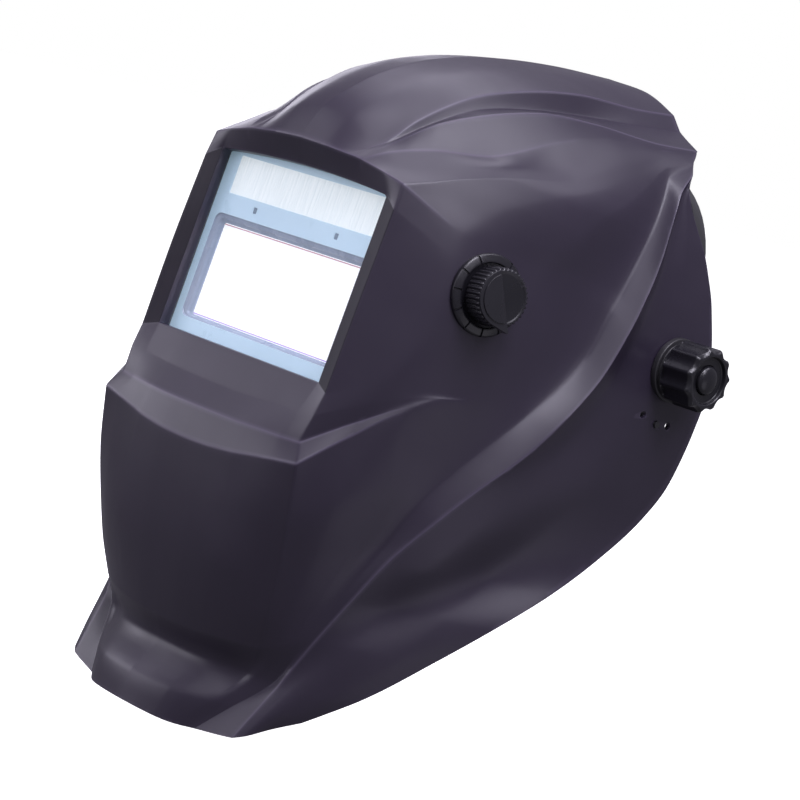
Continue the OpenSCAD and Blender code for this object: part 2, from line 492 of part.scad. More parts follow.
// The lead from the dial's control to the cartridge, held at both ends
CABLE = [[72.5, -104.1, 14.5], [68, -103.2, 14.1], [64, -103.5, 13], [60.5, -106, 11.5], [58.5, -110, 11],
         [57.5, -114, 13], [57, -117.5, 17], [56.5, -119.5, 22], [55.5, -120.5, 27], [54, -121, 32],
         [51.5, -121.5, 36.5], [48.5, -123, 40], [46.5, -126, 41.6], [46, -130.4, 41.6]];
cable_sides = 8;
function rail(pts, i) = let (a = pts[max(i - 1, 0)], b = pts[min(i + 1, len(pts) - 1)]) (b - a) / norm(b - a);
module tube(pts, r) {
    ring = [for (i = [0:len(pts) - 1])
        let (t = rail(pts, i), u = cross(t, [0.3, 1, 0.2]), v = u / norm(u), w = cross(t, v))
        [for (k = [0:cable_sides - 1]) pts[i] + r * (cos(k * 45) * v + sin(k * 45) * w)]];
    n = len(pts);
    m = cable_sides;
    polyhedron(
        points = [for (c = ring) each c],
        faces = concat(
            [[for (k = [0:m - 1]) k]],
            [for (i = [0:n - 2], k = [0:m - 1]) let (a = i * m + k, b = i * m + (k + 1) % m)
                each [[a, a + m, b], [b, a + m, b + m]]],
            [[for (k = [0:m - 1]) (n - 1) * m + m - 1 - k]]));
}
module shade_cable() color("black") tube(CABLE, pot_cable_r);

// ---------- pivot ----------
arm_x = head_w / 2 + band_t + 0.1;
arm_t = 2.6;
boss_end = 97.4;
washer_t = 1.3;
plate_x = 98.9;
collar_x = 106;
collar_seat = 105.3;
collar_r = 14.5;
knob_x = 109.3;
knob_end = 126;
cap_r = 6.4;
cap_side = 2;
cap_rise = 3;
thread_r = 5;
module stop_plate(side) color(black) on_side(side) difference() {
    union() {
        along_x(plate_x, plate_x + 2.6, 15);
        along_x(plate_x, 102, 10);
        rotate([stop_angles[1] - 90, 0, 0]) translate([plate_x, -4, 0]) cube([2.6, 8, stop_r + 4]);
        rotate([stop_angles[1] - 90, 0, 0]) translate([93, 1, 15.5]) cube([6.5, 4, 4.5]);
        stop_hole(stop_angles[1], plate_x, 107.2, stop_hole_r - 0.15);
    }
    along_x(90, 110, pivot_bore_r);
}
module pivot_collar(side) color(black) on_side(side) difference() {
    union() {
        along_x(collar_seat, collar_x + 1.4, collar_r);
        along_x(collar_x + 1.4, knob_x - 0.3, 12.5);
    }
    along_x(90, 115, pivot_bore_r);
}
module pivot_knob(side) color(black) on_side(side) difference() {
    union() {
        along_x(knob_x, knob_end, knob_d / 2 - 2, 60);
        for (i = [0:knob_lobes - 1]) rotate([i * 360 / knob_lobes, 0, 0])
            translate([0, 0, knob_d / 2 - 2.6]) along_x(knob_x, knob_end - 1, 2.6, 24);
    }
    along_x(knob_x - 1, 121, thread_r + 0.05);
    along_x(knob_end - 2, knob_end + 2, 10.2);
    along_x(knob_end - 4, knob_end, cap_r + 0.1);
}
module pivot_cap(side) color(black) on_side(side) translate([knob_end - 4, 0, 0]) rotate([0, 90, 0])
    rotate_extrude() polygon(concat([[0, 0], [cap_r, 0]],
        [for (i = [0:8]) [cap_r * cos(i * 11.25), cap_side + cap_rise * sin(i * 11.25)]]));
module pivot_bolt(side) color(dark) on_side(side) {
    along_x(arm_x - 3.2, arm_x - 0.2, 8.5);
    along_x(arm_x - 0.2, knob_x - 0.9, bolt_r);
    along_x(knob_x - 1, 120.5, thread_r);
}
module friction_washer(side) color("dimgray") on_side(side) difference() {
    along_x(boss_end + 0.05, boss_end + 0.05 + washer_t, 13);
    along_x(90, 110, bolt_r + 0.05);
}
arm_top = 35;
module side_arm(side) color(black) on_side(side) difference() {
    union() {
        along_x(arm_x, arm_x + arm_t, 14);
        translate([arm_x, -12, 0]) cube([arm_t, 24, arm_top]);
        along_x(arm_x + 1, boss_end, 11);
        rotate([stop_angles[1] - 90, 0, 0]) translate([91.5, -4.4, 8.5]) cube([boss_end - 91.9, 5, 11]);
        for (y = [-11.1, 11.1]) translate([arm_x + 1, y - 0.8, 14.5]) cube([arm_t + 1.5, 1.6, arm_top - 16]);
    }
    along_x(50, 110, bolt_r + 0.02);
    for (y = rivet_y) translate([0, y, rivet_z]) along_x(50, 100, 2.05, 24);
}
rivet_y = [-6, 6];
rivet_z = 23;
module arm_rivets() color("silver")
    for (side = [-1, 1], y = rivet_y) on_side(side) translate([0, y, rivet_z]) {
        along_x(head_w / 2 - band_t - 1.8, head_w / 2 - band_t - 0.8, 4, 24);
        along_x(head_w / 2 - band_t - 0.9, arm_x + arm_t, 2, 24);
        along_x(arm_x + arm_t, arm_x + arm_t + 1.2, 4, 24);
    }

// ---------- headgear ----------
// Band frame of reference: the band's own plane, front along -Y
band_z = 22.5;
module in_band() translate([0, 0, band_z]) rotate([-band_tilt, 0, 0]) children();
// A point of the band at an angle, moved outwards by off
function oval(angle, off) = [(head_w / 2 + off) * cos(angle), (head_l / 2 + off) * sin(angle)];
function ramp(a, from, to) = let (t = min(max((a - from) / (to - from), 0), 1)) t * t * (3 - 2 * t);
// A strip along the oval between two angles, from off to off + thick, where off may vary with the angle
module strip(from, to, thick, high, inner = 0, outer = 0, turn_from = 0, turn_to = 1) {
    steps = ceil((to - from) / 5);
    angles = [for (i = [0:steps]) from + (to - from) * i / steps];
    low = [for (a = angles) oval(a, inner + (outer - inner) * ramp(a, turn_from, turn_to))];
    high_side = [for (i = [0:steps])
        let (a = angles[steps - i]) oval(a, thick + inner + (outer - inner) * ramp(a, turn_from, turn_to))];
    translate([0, 0, -high / 2]) linear_extrude(height = high) polygon(concat(low, high_side));
}
slot_l = 44;
slot_h = 11;
module rack_slot(teeth_up) {
    translate([-slot_l / 2, 60, -slot_h / 2]) difference() {
        cube([slot_l, 60, slot_h]);
        for (i = [0:10]) translate([2 + i * 4, -1, teeth_up ? slot_h - 0.8 : -1]) cube([2, 62, 1.8]);
    }
}
module rivet_holes() for (side = [-1, 1], y = rivet_y)
    on_side(side) translate([0, y, rivet_z]) along_x(50, 100, 2.05, 24);
module front_band() color(black) difference() {
    in_band() strip(-206, 26, band_t, band_h);
    in_band() for (angle = [front_strap[0], rear_strap[0]], s = [-1, 1]) strap_stud(angle, s, 2.1);
    rivet_holes();
    for (angle = [-60, -30, 30, 60]) in_band() rotate(angle) along_y(-120, -60, 2.5, 20);
}
module rear_band(outer) color(black) difference() {
    in_band() strip(-12, 112, band_t - 0.2, band_h, -band_t - 0.1, outer, 25, 60);
    rivet_holes();
    in_band() rack_slot(outer > -1);
}
module rear_band_left() rear_band(0.1);
module rear_band_right() mirror([1, 0, 0]) rear_band(-band_t - 0.1);
housing_h = 34;
rear_y = head_l / 2;
module ratchet_housing() color(black) difference() {
    in_band() strip(68, 112, 9.5, housing_h, -4.6, -4.6);
    in_band() strip(60, 120, 2 * band_t + 0.8, band_h + 1, -band_t - 0.5, -band_t - 0.5);
    in_band() along_y(60, 130, 7.1);
}
module ratchet_cover() color(dark) in_band() difference() {
    union() {
        along_y(rear_y + 5, rear_y + 8.2, 17);
        for (x = [-1, 1], z = [-1, 1]) translate([x * 12, 0, z * 12]) along_y(rear_y + 2.8, rear_y + 9, 1.6, 20);
    }
    along_y(60, 130, 5.05);
}
module ratchet_pinion() color(dark) in_band() {
    along_y(rear_y - 3.2, rear_y + 5.6, 3.6);
    along_y(rear_y - 3, rear_y + 17.8, 3);
    along_y(rear_y + 4.9, rear_y + 8.5, 5);
    for (i = [0:7]) rotate([0, i * 45, 0]) translate([-0.6, rear_y - 2.8, 0]) cube([1.2, 5.2, 4.4]);
}
module ratchet_knob() color(black) in_band() difference() {
    union() {
        translate([0, rear_y + 9.3, 0]) rotate([-90, 0, 0]) fluted(ratchet_d / 2 - 0.8, 0.8, 18, 9.5);
        along_y(rear_y + 12, rear_y + 20, ratchet_d / 2 - 3, 72);
    }
    along_y(rear_y, rear_y + 18, 3.02);
    along_y(rear_y + 9, rear_y + 12.5, 9, 40);
}
module sweatband() color([0.15, 0.15, 0.16]) in_band() strip(-148, -32, 6.5, band_h + 10, -7, -7);
module rear_pad() color([0.15, 0.15, 0.16]) in_band() strip(66, 114, 5, band_h + 8, -9.9, -9.9);
// Crown straps arch over the head from one side of the band to the other
strap_w = 16;
strap_t = 1.5;
strap_gap = 1.1;
strap_far = band_t + 2 * strap_gap + 2 * strap_t + 0.2;
strap_steps = 24;
module crown_strap(angle, top, from, to, off) {
    foot = oval(angle, band_t + strap_gap);
    along = [-head_w * sin(angle), head_l * cos(angle)];
    side = along / norm(along);
    // Each section is flat against the band at the foot and turns to lie square across the head at the top
    sections = [for (i = [0:strap_steps])
        let (a = from + (to - from) * i / strap_steps,
             centre = [foot[0] * cos(a), foot[1], top * sin(a)],
             raw = [side[0] * cos(a), side[1] + (1 - side[1]) * sin(a), 0],
             wide = raw / norm(raw) * strap_w / 2,
             out_raw = cross(wide, [-foot[0] * sin(a), 0, top * cos(a)]),
             out = out_raw / norm(out_raw))
        [centre - wide + off * out, centre + wide + off * out,
         centre + wide + (off + strap_t) * out, centre - wide + (off + strap_t) * out]];
    n = strap_steps * 4;
    in_band() difference() {
        polyhedron(
            points = [for (s = sections) each s],
            faces = concat(
                [[0, 1, 2], [0, 2, 3], [n, n + 2, n + 1], [n, n + 3, n + 2]],
                [for (i = [0:strap_steps - 1], k = [0:3]) let (a = i * 4 + k, b = i * 4 + (k + 1) % 4)
                    each [[a, a + 4, b], [b, a + 4, b + 4]]]));
        for (i = [-2:2]) translate([i * 10, foot[1], top - 10]) cylinder(r = 2.1, h = 20, $fn = 24);
        for (s = [-1, 1]) strap_stud(angle, s, 2.1);
    }
}
// A stud that holds a strap's foot on the band
module strap_stud(angle, side, r, from = -6, to = 9)
    translate([side * oval(angle, 0)[0], oval(angle, 0)[1], 0])
        rotate([0, 0, side > 0 ? angle * head_w / head_l : 180 - angle * head_w / head_l]) along_x(from, to, r, 24);
front_strap = [-38, 60];
rear_strap = [16, 84];
overlap_a = 68;
module crown_strap_front_left() color(black) crown_strap(front_strap[0], front_strap[1], -6, 112, 0);
module crown_strap_front_right() color(black)
    crown_strap(front_strap[0], front_strap[1], overlap_a, 186, strap_t + 0.1);
module crown_strap_rear_left() color(black) crown_strap(rear_strap[0], rear_strap[1], -6, 112, 0);
module crown_strap_rear_right() color(black)
    crown_strap(rear_strap[0], rear_strap[1], overlap_a, 186, strap_t + 0.1);
module strap_pins() color(dark) in_band()
    for (s = [front_strap, rear_strap], x = [-10, 10]) {
        top = s[1];
        y = oval(s[0], band_t + strap_gap)[1];
        translate([x, y, top - 2.6]) cylinder(r = 2, h = 6, $fn = 24);
        translate([x, y, top + 3.2]) cylinder(r = 3.6, h = 1.2, $fn = 24);
    }
module strap_studs() color(dark) in_band()
    for (angle = [front_strap[0], rear_strap[0]], s = [-1, 1]) {
        strap_stud(angle, s, 2, 0.1, strap_far);
        strap_stud(angle, s, 3.5, strap_far, strap_far + 1.2);
    }

module stop_plate_left() stop_plate(1);
module stop_plate_right() stop_plate(-1);
module pivot_collar_left() pivot_collar(1);
module pivot_collar_right() pivot_collar(-1);
module pivot_knob_left() pivot_knob(1);
module pivot_knob_right() pivot_knob(-1);
module pivot_cap_left() pivot_cap(1);
module pivot_cap_right() pivot_cap(-1);
module pivot_bolt_left() pivot_bolt(1);
module pivot_bolt_right() pivot_bolt(-1);
module friction_washer_left() friction_washer(1);
module friction_washer_right() friction_washer(-1);
module side_arm_left() side_arm(1);
module side_arm_right() side_arm(-1);

shell();
cover_plate();
filter_case_front();
filter_case_back();
uv_ir_glass();
lcd_panel();
solar_cell();
light_sensors();
circuit_board();
coin_cells();
sensitivity_dial();
delay_dial();
inner_cover_plate();
filter_holder();
holder_screws();
holder_latch();
shade_ring();
shade_pot();
shade_nut();
shade_shaft();
shade_knob();
shade_cable();
stop_plate_left();
stop_plate_right();
pivot_collar_left();
pivot_collar_right();
pivot_knob_left();
pivot_knob_right();
pivot_cap_left();
pivot_cap_right();
pivot_bolt_left();
pivot_bolt_right();
friction_washer_left();
friction_washer_right();
side_arm_left();
side_arm_right();
arm_rivets();
front_band();
rear_band_left();
rear_band_right();
ratchet_housing();
ratchet_cover();
ratchet_pinion();
ratchet_knob();
sweatband();
rear_pad();
crown_strap_front_left();
crown_strap_front_right();
crown_strap_rear_left();
crown_strap_rear_right();
strap_pins();
strap_studs();
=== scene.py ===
"""Looks of the auto-darkening welding helmet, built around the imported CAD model."""

import json
import math

import bmesh
import bpy
import numpy as np
from mathutils import Matrix, Vector
from mathutils.kdtree import KDTree


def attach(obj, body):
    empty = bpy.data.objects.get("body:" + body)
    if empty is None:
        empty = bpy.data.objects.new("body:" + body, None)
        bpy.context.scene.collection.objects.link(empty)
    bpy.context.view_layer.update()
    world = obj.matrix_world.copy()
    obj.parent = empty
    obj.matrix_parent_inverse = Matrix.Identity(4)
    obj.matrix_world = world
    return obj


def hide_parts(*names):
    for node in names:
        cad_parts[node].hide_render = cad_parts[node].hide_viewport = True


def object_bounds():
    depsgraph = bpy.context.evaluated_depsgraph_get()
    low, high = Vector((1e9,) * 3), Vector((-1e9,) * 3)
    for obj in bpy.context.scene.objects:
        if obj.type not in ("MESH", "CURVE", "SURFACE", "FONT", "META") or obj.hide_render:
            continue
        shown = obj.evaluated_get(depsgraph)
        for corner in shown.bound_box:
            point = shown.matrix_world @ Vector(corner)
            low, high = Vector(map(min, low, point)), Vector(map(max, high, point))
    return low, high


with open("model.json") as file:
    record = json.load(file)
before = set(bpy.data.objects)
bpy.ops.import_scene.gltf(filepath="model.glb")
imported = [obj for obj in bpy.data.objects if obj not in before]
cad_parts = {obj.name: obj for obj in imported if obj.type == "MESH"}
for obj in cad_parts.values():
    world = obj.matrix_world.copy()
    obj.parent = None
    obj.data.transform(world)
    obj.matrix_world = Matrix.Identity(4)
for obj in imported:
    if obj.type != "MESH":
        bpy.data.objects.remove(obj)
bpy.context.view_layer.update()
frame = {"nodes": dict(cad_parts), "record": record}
NODES = frame["nodes"]
MM = 0.001


# ---------- camera ----------
def make_camera():
    data = bpy.data.cameras.new("camera")
    data.lens = 115.546
    data.sensor_width = 36
    data.clip_end = 40
    camera = bpy.data.objects.new("camera", data)
    camera.location = (0.81492, -0.87520, 0.08405)
    camera.rotation_euler = [math.radians(a) for a in (83.365, -14.080, 46.416)]
    bpy.context.scene.collection.objects.link(camera)
    bpy.context.scene.camera = camera


make_camera()

# ---------- places, in metres ----------
LEAN = 8
BAND_TILT = 24
BAND_Z = 22.5


def turned(degrees, axis):
    return Matrix.Rotation(math.radians(degrees), 4, axis)


def moved(x, y, z):
    return Matrix.Translation((x * MM, y * MM, z * MM))


# Each place takes a point in millimetres in its own frame to metres in the helmet's frame
SCALE = Matrix.Scale(MM, 4)
IN_ROW = SCALE
IN_WINDOW = moved(0, -143.5, -7.1) @ turned(-LEAN, "X") @ SCALE
IN_DIAL = moved(86.2, -107, 15.7) @ turned(-12, "Z") @ turned(85, "Y") @ SCALE
IN_BAND = moved(0, 0, BAND_Z) @ turned(-BAND_TILT, "X") @ SCALE
ALONG_X = turned(90, "Y")
MIRROR_X = Matrix.Scale(-1, 4, (1, 0, 0))


def on_side(side):
    """The helmet's frame in millimetres, seen from the wearer's left, side 1, or right, side -1."""
    return IN_ROW if side > 0 else MIRROR_X @ IN_ROW


def along_window():
    """Z of this place runs along the window's Y, into the helmet, and its Y up the window."""
    return IN_WINDOW @ Matrix(((1, 0, 0, 0), (0, 0, 1, 0), (0, 1, 0, 0), (0, 0, 0, 1)))


# ---------- mesh building ----------
def new_object(name, bm, materials):
    bmesh.ops.recalc_face_normals(bm, faces=bm.faces)
    mesh = bpy.data.meshes.new(name)
    bm.to_mesh(mesh)
    bm.free()
    for m in materials if isinstance(materials, (list, tuple)) else [materials]:
        mesh.materials.append(m)
    obj = bpy.data.objects.new(name, mesh)
    bpy.context.scene.collection.objects.link(obj)
    return obj


def smooth(obj, angle=32):
    obj.data.shade_smooth()
    obj.data.set_sharp_from_angle(angle=math.radians(angle))
    return obj


def bevel(obj, width, segments, angle):
    """Rounds the edges that turn by more than angle; width is in millimetres."""
    modifier = obj.modifiers.new("bevel", "BEVEL")
    modifier.width = width * MM
    modifier.segments = segments
    modifier.limit_method = "ANGLE"
    modifier.angle_limit = math.radians(angle)
    modifier.use_clamp_overlap = True
    modifier.miter_outer = "MITER_ARC"
    modifier.harden_normals = False
    return modifier


def softened(obj, width, angle=32):
    """Rounds a piece's edges and keeps its flat faces flat in the shading."""
    obj.data.shade_smooth()
    bevel(obj, width, 2, angle)
    normals = obj.modifiers.new("normals", "WEIGHTED_NORMAL")
    normals.keep_sharp = False
    return apply_modifiers(obj)


def apply_modifiers(obj):
    graph = bpy.context.evaluated_depsgraph_get()
    mesh = bpy.data.meshes.new_from_object(obj.evaluated_get(graph))
    old = obj.data
    obj.modifiers.clear()
    obj.data = mesh
    bpy.data.meshes.remove(old)
    return obj


def piece(obj, body, slot, *nodes):
    """Finishes a piece: it rides on a body and stands for CAD nodes, which it hides; slot, its finish slot, is not
    used.
    """
    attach(obj, body)
    if nodes:
        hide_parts(*nodes)
    return obj


def loft(bm, loops, place, closed=False):
    """Joins loops of points, all of one length, by quads."""
    rings = [[bm.verts.new(place @ Vector(p)) for p in loop] for loop in loops]
    pairs = list(zip(rings, rings[1:]))
    if closed:
        pairs.append((rings[-1], rings[0]))
    count = len(rings[0])
    for a, b in pairs:
        for k in range(count):
            n = (k + 1) % count
            bm.faces.new((a[k], a[n], b[n], b[k]))
    if not closed:
        bm.faces.new(rings[0][::-1])
        bm.faces.new(rings[-1])
    return rings


def rounded(corners, radii, steps):
    """The corner points with each corner rounded by its radius."""
    points = []
    count = len(corners)
    if not isinstance(radii, (list, tuple)):
        radii = [radii] * count
    for i, corner in enumerate(corners):
        here = Vector(corner)
        if radii[i] <= 0:
            points.append(tuple(here))
            continue
        before = Vector(corners[i - 1]) - here
        after = Vector(corners[(i + 1) % count]) - here
        reach = min(radii[i], before.length * 0.49, after.length * 0.49)
        start = here + before.normalized() * reach
        end = here + after.normalized() * reach
        for k in range(steps + 1):
            t = k / steps
            points.append(tuple(start * (1 - t) ** 2 + here * 2 * t * (1 - t) + end * t * t))
    return points


def turned_solid(bm, profile, place, steps, shape=None):
    """A turned solid: profile is a closed outline of (radius, height) points clear of the axis."""
    loops = []
    for k in range(steps):
        angle = 2 * math.pi * k / steps
        loop = []
        for r, z in profile:
            rr, zz = shape(angle, r, z) if shape else (r, z)
            loop.append((rr * math.cos(angle), rr * math.sin(angle), zz))
        loops.append(loop)
    loft(bm, loops, place, closed=True)


def stack(bm, stations, place, steps, shape=None):
    """A round solid from (radius, height) stations, closed at both ends."""
    loops = []
    for r, z in stations:
        loop = []
        for k in range(steps):
            angle = 2 * math.pi * k / steps
            rr, zz = shape(angle, r, z) if shape else (r, z)
            loop.append((rr * math.cos(angle), rr * math.sin(angle), zz))
        loops.append(loop)
    loft(bm, loops, place)


def rounded_rect(half_w, half_h, r, centre=(0, 0), steps=5):
    points = []
    for quarter, (sx, sy) in enumerate(((1, 1), (-1, 1), (-1, -1), (1, -1))):
        for k in range(steps + 1):
            a = math.radians(90 * (quarter + k / steps))
            points.append(
                (
                    centre[0] + sx * (half_w - r) + r * math.cos(a),
                    centre[1] + sy * (half_h - r) + r * math.sin(a),
                )
            )
    return points


def prism(bm, outline, z0, z1, place):
    loft(bm, [[(x, y, z) for x, y in outline] for z in (z0, z1)], place)


# ---------- materials ----------
def node_of(tree, kind, **values):
    node = tree.nodes.new(kind)
    for key, value in values.items():
        setattr(node, key, value)
    return node


def noise_at(tree, coordinate, scale, detail, rough=0.55):
    noise = node_of(tree, "ShaderNodeTexNoise")
    noise.inputs["Scale"].default_value = scale
    noise.inputs["Detail"].default_value = detail
    noise.inputs["Roughness"].default_value = rough
    tree.links.new(coordinate, noise.inputs["Vector"])
    return noise.outputs["Fac"]


def ranged(tree, value, low, high, from_low=0.3, from_high=0.7):
    node = node_of(tree, "ShaderNodeMapRange")
    node.inputs["From Min"].default_value = from_low
    node.inputs["From Max"].default_value = from_high
    node.inputs["To Min"].default_value = low
    node.inputs["To Max"].default_value = high
    tree.links.new(value, node.inputs["Value"])
    return node.outputs["Result"]


def mixed(tree, factor, a, b):
    """Colour a to colour b by a factor; a and b are colours or sockets."""
    node = node_of(tree, "ShaderNodeMix", data_type="RGBA")
    for key, value in ((6, a), (7, b)):
        if isinstance(value, (tuple, list)):
            node.inputs[key].default_value = (*value, 1)
        else:
            tree.links.new(value, node.inputs[key])
    tree.links.new(factor, node.inputs[0])
    return node.outputs[2]


def bumped(tree, height, strength, distance):
    node = node_of(tree, "ShaderNodeBump")
    node.inputs["Strength"].default_value = strength
    node.inputs["Distance"].default_value = distance
    tree.links.new(height, node.inputs["Height"])
    return node.outputs["Normal"]


def base_material(name):
    material = bpy.data.materials.new(name)
    material.use_nodes = True
    tree = material.node_tree
    shader = tree.nodes["Principled BSDF"]
    coordinate = node_of(tree, "ShaderNodeTexCoord").outputs["Object"]
    return material, tree, shader, coordinate


def glowing(shader, color, strength):
    """Light of its own, for what reads paler than the studio lights make it."""
    shader.inputs["Emission Color"].default_value = (*color, 1)
    shader.inputs["Emission Strength"].default_value = strength


def moulded(name, color, light, rough, spread, grain, strength, wear_and_highlight=0.0, specular=0.5):
    """Moulded plastic: two close tones, a fine grain and uneven gloss; sharp edges are painted paler, partly as wear
    and partly as painted highlight, and the shell's ridge lines take a painted highlight.
    """
    material, tree, shader, coordinate = base_material(name)
    tone = ranged(tree, noise_at(tree, coordinate, 18, 4), 0, 1, 0.35, 0.65)
    paint = mixed(tree, tone, color, light)
    # Paler edges: pointiness paints sharp edges paler, partly wear and partly painted highlight; the ridge attribute
    # paints a highlight along the shell's ridge lines.
    if wear_and_highlight:
        edge = node_of(tree, "ShaderNodeNewGeometry").outputs["Pointiness"]
        worn_and_highlit = ranged(tree, edge, 0, wear_and_highlight, 0.52, 0.6)
        ridge = node_of(tree, "ShaderNodeAttribute", attribute_name="ridge").outputs["Fac"]
        either = node_of(tree, "ShaderNodeMath", operation="MAXIMUM")
        tree.links.new(worn_and_highlit, either.inputs[0])
        tree.links.new(ranged(tree, ridge, 0, 0.55, 0, 1), either.inputs[1])
        paint = mixed(tree, either.outputs[0], paint, tuple(min(1, c * 3 + 0.03) for c in light))
    tree.links.new(paint, shader.inputs["Base Color"])
    gloss = ranged(tree, noise_at(tree, coordinate, 55, 5), rough - spread, rough + spread)
    tree.links.new(gloss, shader.inputs["Roughness"])
    fine = noise_at(tree, coordinate, grain, 2)
    tree.links.new(bumped(tree, fine, strength, 0.0001), shader.inputs["Normal"])
    shader.inputs["Specular IOR Level"].default_value = specular
    return material


def metal(name, color, rough, scale):
    material, tree, shader, coordinate = base_material(name)
    tone = noise_at(tree, coordinate, scale, 5)
    tree.links.new(
        mixed(tree, ranged(tree, tone, 0, 1), color, tuple(c * 0.75 for c in color)),
        shader.inputs["Base Color"],
    )
    tree.links.new(ranged(tree, tone, rough - 0.08, rough + 0.1), shader.inputs["Roughness"])
    tree.links.new(
        bumped(tree, noise_at(tree, coordinate, scale * 30, 2), 0.08, 0.00005),
        shader.inputs["Normal"],
    )
    shader.inputs["Metallic"].default_value = 1
    return material


# The width of one thread, and the scale at which a wave texture repeats once in a metre
THREAD = 0.0007
WAVE_SCALE = 0.05


def cloth(name, color, light):
    """A close brushed knit: crossed ribs of thread, with fluff and sheen."""
    material, tree, shader, coordinate = base_material(name)
    heights = []
    for axis, turn in (("X", 0.0), ("Z", 0.9)):
        wave = node_of(tree, "ShaderNodeTexWave", bands_direction=axis)
        wave.inputs["Scale"].default_value = WAVE_SCALE / THREAD
        wave.inputs["Distortion"].default_value = 1.2
        wave.inputs["Detail"].default_value = 1
        wave.inputs["Phase Offset"].default_value = turn
        tree.links.new(coordinate, wave.inputs["Vector"])
        heights.append(wave.outputs["Fac"])
    both = node_of(tree, "ShaderNodeMath", operation="MULTIPLY")
    tree.links.new(heights[0], both.inputs[0])
    tree.links.new(heights[1], both.inputs[1])
    fluff = noise_at(tree, coordinate, 900, 4)
    total = node_of(tree, "ShaderNodeMath", operation="ADD")
    tree.links.new(both.outputs[0], total.inputs[0])
    tree.links.new(fluff, total.inputs[1])
    tone = ranged(tree, total.outputs[0], 0, 1, 0.3, 1.4)
    tree.links.new(mixed(tree, tone, color, light), shader.inputs["Base Color"])
    tree.links.new(
        bumped(tree, total.outputs[0], 0.5, 0.0004),
        shader.inputs["Normal"],
    )
    shader.inputs["Roughness"].default_value = 0.95
    shader.inputs["Sheen Weight"].default_value = 0.35
    shader.inputs["Sheen Roughness"].default_value = 0.5
    return material


def glassy(name, color, alpha, rough):
    material, tree, shader, coordinate = base_material(name)
    smear = noise_at(tree, coordinate, 40, 4)
    tree.links.new(ranged(tree, smear, rough, rough + 0.06), shader.inputs["Roughness"])
    tree.links.new(
        mixed(tree, ranged(tree, smear, 0, 1), color, tuple(c * 0.95 for c in color)),
        shader.inputs["Base Color"],
    )
    shader.inputs["Alpha"].default_value = alpha
    shader.inputs["IOR"].default_value = 1.49
    return material


SHELL = moulded(
    "shell_plastic", (0.022, 0.017, 0.031), (0.026, 0.020, 0.036), 0.38, 0.03, 2600, 0.16, wear_and_highlight=0.16
)
# A darker, less glossy copy of the shell plastic: painted shade for the facets beside the window
FRAME_SHADE = moulded(
    "frame_painted_shade", (0.010, 0.008, 0.014), (0.013, 0.010, 0.018), 0.5, 0.03, 2600, 0.16, specular=0.25
)
BLACK = moulded("black_plastic", (0.016, 0.016, 0.018), (0.022, 0.021, 0.024), 0.42, 0.06, 2200, 0.2, wear_and_highlight=0.1)
KNOB = moulded("knob_plastic", (0.009, 0.009, 0.012), (0.013, 0.012, 0.016), 0.27, 0.05, 3000, 0.08, wear_and_highlight=0.2)
RUBBER = moulded("rubber", (0.012, 0.012, 0.013), (0.018, 0.018, 0.02), 0.7, 0.08, 1600, 0.3)
STEEL = metal("plated_steel", (0.62, 0.61, 0.6), 0.3, 60)
FABRIC = cloth("fabric_pad", (0.02, 0.02, 0.023), (0.065, 0.065, 0.072))
CLEAR = glassy("clear_plate", (0.80, 0.90, 0.96), 0.10, 0.04)
PANEL = moulded("filter_film", (0.44, 0.62, 0.74), (0.50, 0.68, 0.79), 0.30, 0.04, 900, 0.03)
BORDER = moulded("filter_border", (0.30, 0.38, 0.50), (0.36, 0.43, 0.54), 0.28, 0.04, 900, 0.03)
SENSOR = moulded("sensor", (0.16, 0.24, 0.32), (0.2, 0.28, 0.36), 0.12, 0.02, 600, 0.02)
# Painted glow: the filter film gives off a little light of its own, so it reads paler
glowing(PANEL.node_tree.nodes["Principled BSDF"], (0.50, 0.68, 0.79), 0.25)
BOARD = moulded("board", (0.03, 0.16, 0.07), (0.04, 0.2, 0.09), 0.35, 0.05, 900, 0.1)


def viewing_glass():
    """Coated filter glass: near white, with lavender interference towards its lower corner."""
    material, tree, shader, coordinate = base_material("filter_glass")
    # Painted glow: the glass gives off light of its own, so it reads near white
    glowing(shader, (1, 1, 1), 0.6)
    split = node_of(tree, "ShaderNodeSeparateXYZ")
    tree.links.new(coordinate, split.inputs[0])
    across = ranged(tree, split.outputs["X"], 0, 1, 0.0, 0.046)
    tree.links.new(mixed(tree, across, (0.93, 0.94, 0.97), (0.95, 0.94, 0.97)), shader.inputs["Base Color"])
    tree.links.new(
        ranged(tree, noise_at(tree, coordinate, 50, 3), 0.08, 0.14), shader.inputs["Roughness"]
    )
    return material


def solar_material():
    """Thin-film cells: fine streaks that run up the panel and pale bus lines."""
    material, tree, shader, coordinate = base_material("solar_cell")
    # Painted glow: the cells give off a little light of its own, so they read paler
    glowing(shader, (0.82, 0.90, 0.90), 0.4)
    stretch = node_of(tree, "ShaderNodeMapping")
    stretch.inputs["Scale"].default_value = (1, 0.02, 0.02)
    tree.links.new(coordinate, stretch.inputs["Vector"])
    streak = noise_at(tree, stretch.outputs[0], 1500, 4, 0.7)
    paint = mixed(tree, ranged(tree, streak, 0, 1), (0.66, 0.74, 0.74), (0.86, 0.89, 0.86))
    tree.links.new(paint, shader.inputs["Base Color"])
    tree.links.new(ranged(tree, streak, 0.2, 0.4), shader.inputs["Roughness"])
    return material


GLASS = viewing_glass()
SOLAR = solar_material()
SLOT_MATERIALS = {
    "shell_plastic": SHELL,
    "black_plastic": BLACK,
    "knob_plastic": KNOB,
    "clear_plate": CLEAR,
    "filter_glass": GLASS,
    "case_front": PANEL,
    "solar_cell": SOLAR,
    "sensor": SENSOR,
    "board": BOARD,
    "plated_steel": STEEL,
    "rubber": RUBBER,
    "fabric_pad": FABRIC,
}
SLOT_OF = {p["node"]: p["material_slot"] for p in frame["record"]["subparts"]}
BODY_OF = {n: body for body, names in frame["record"]["behaviour"]["bodies"].items() for n in names}

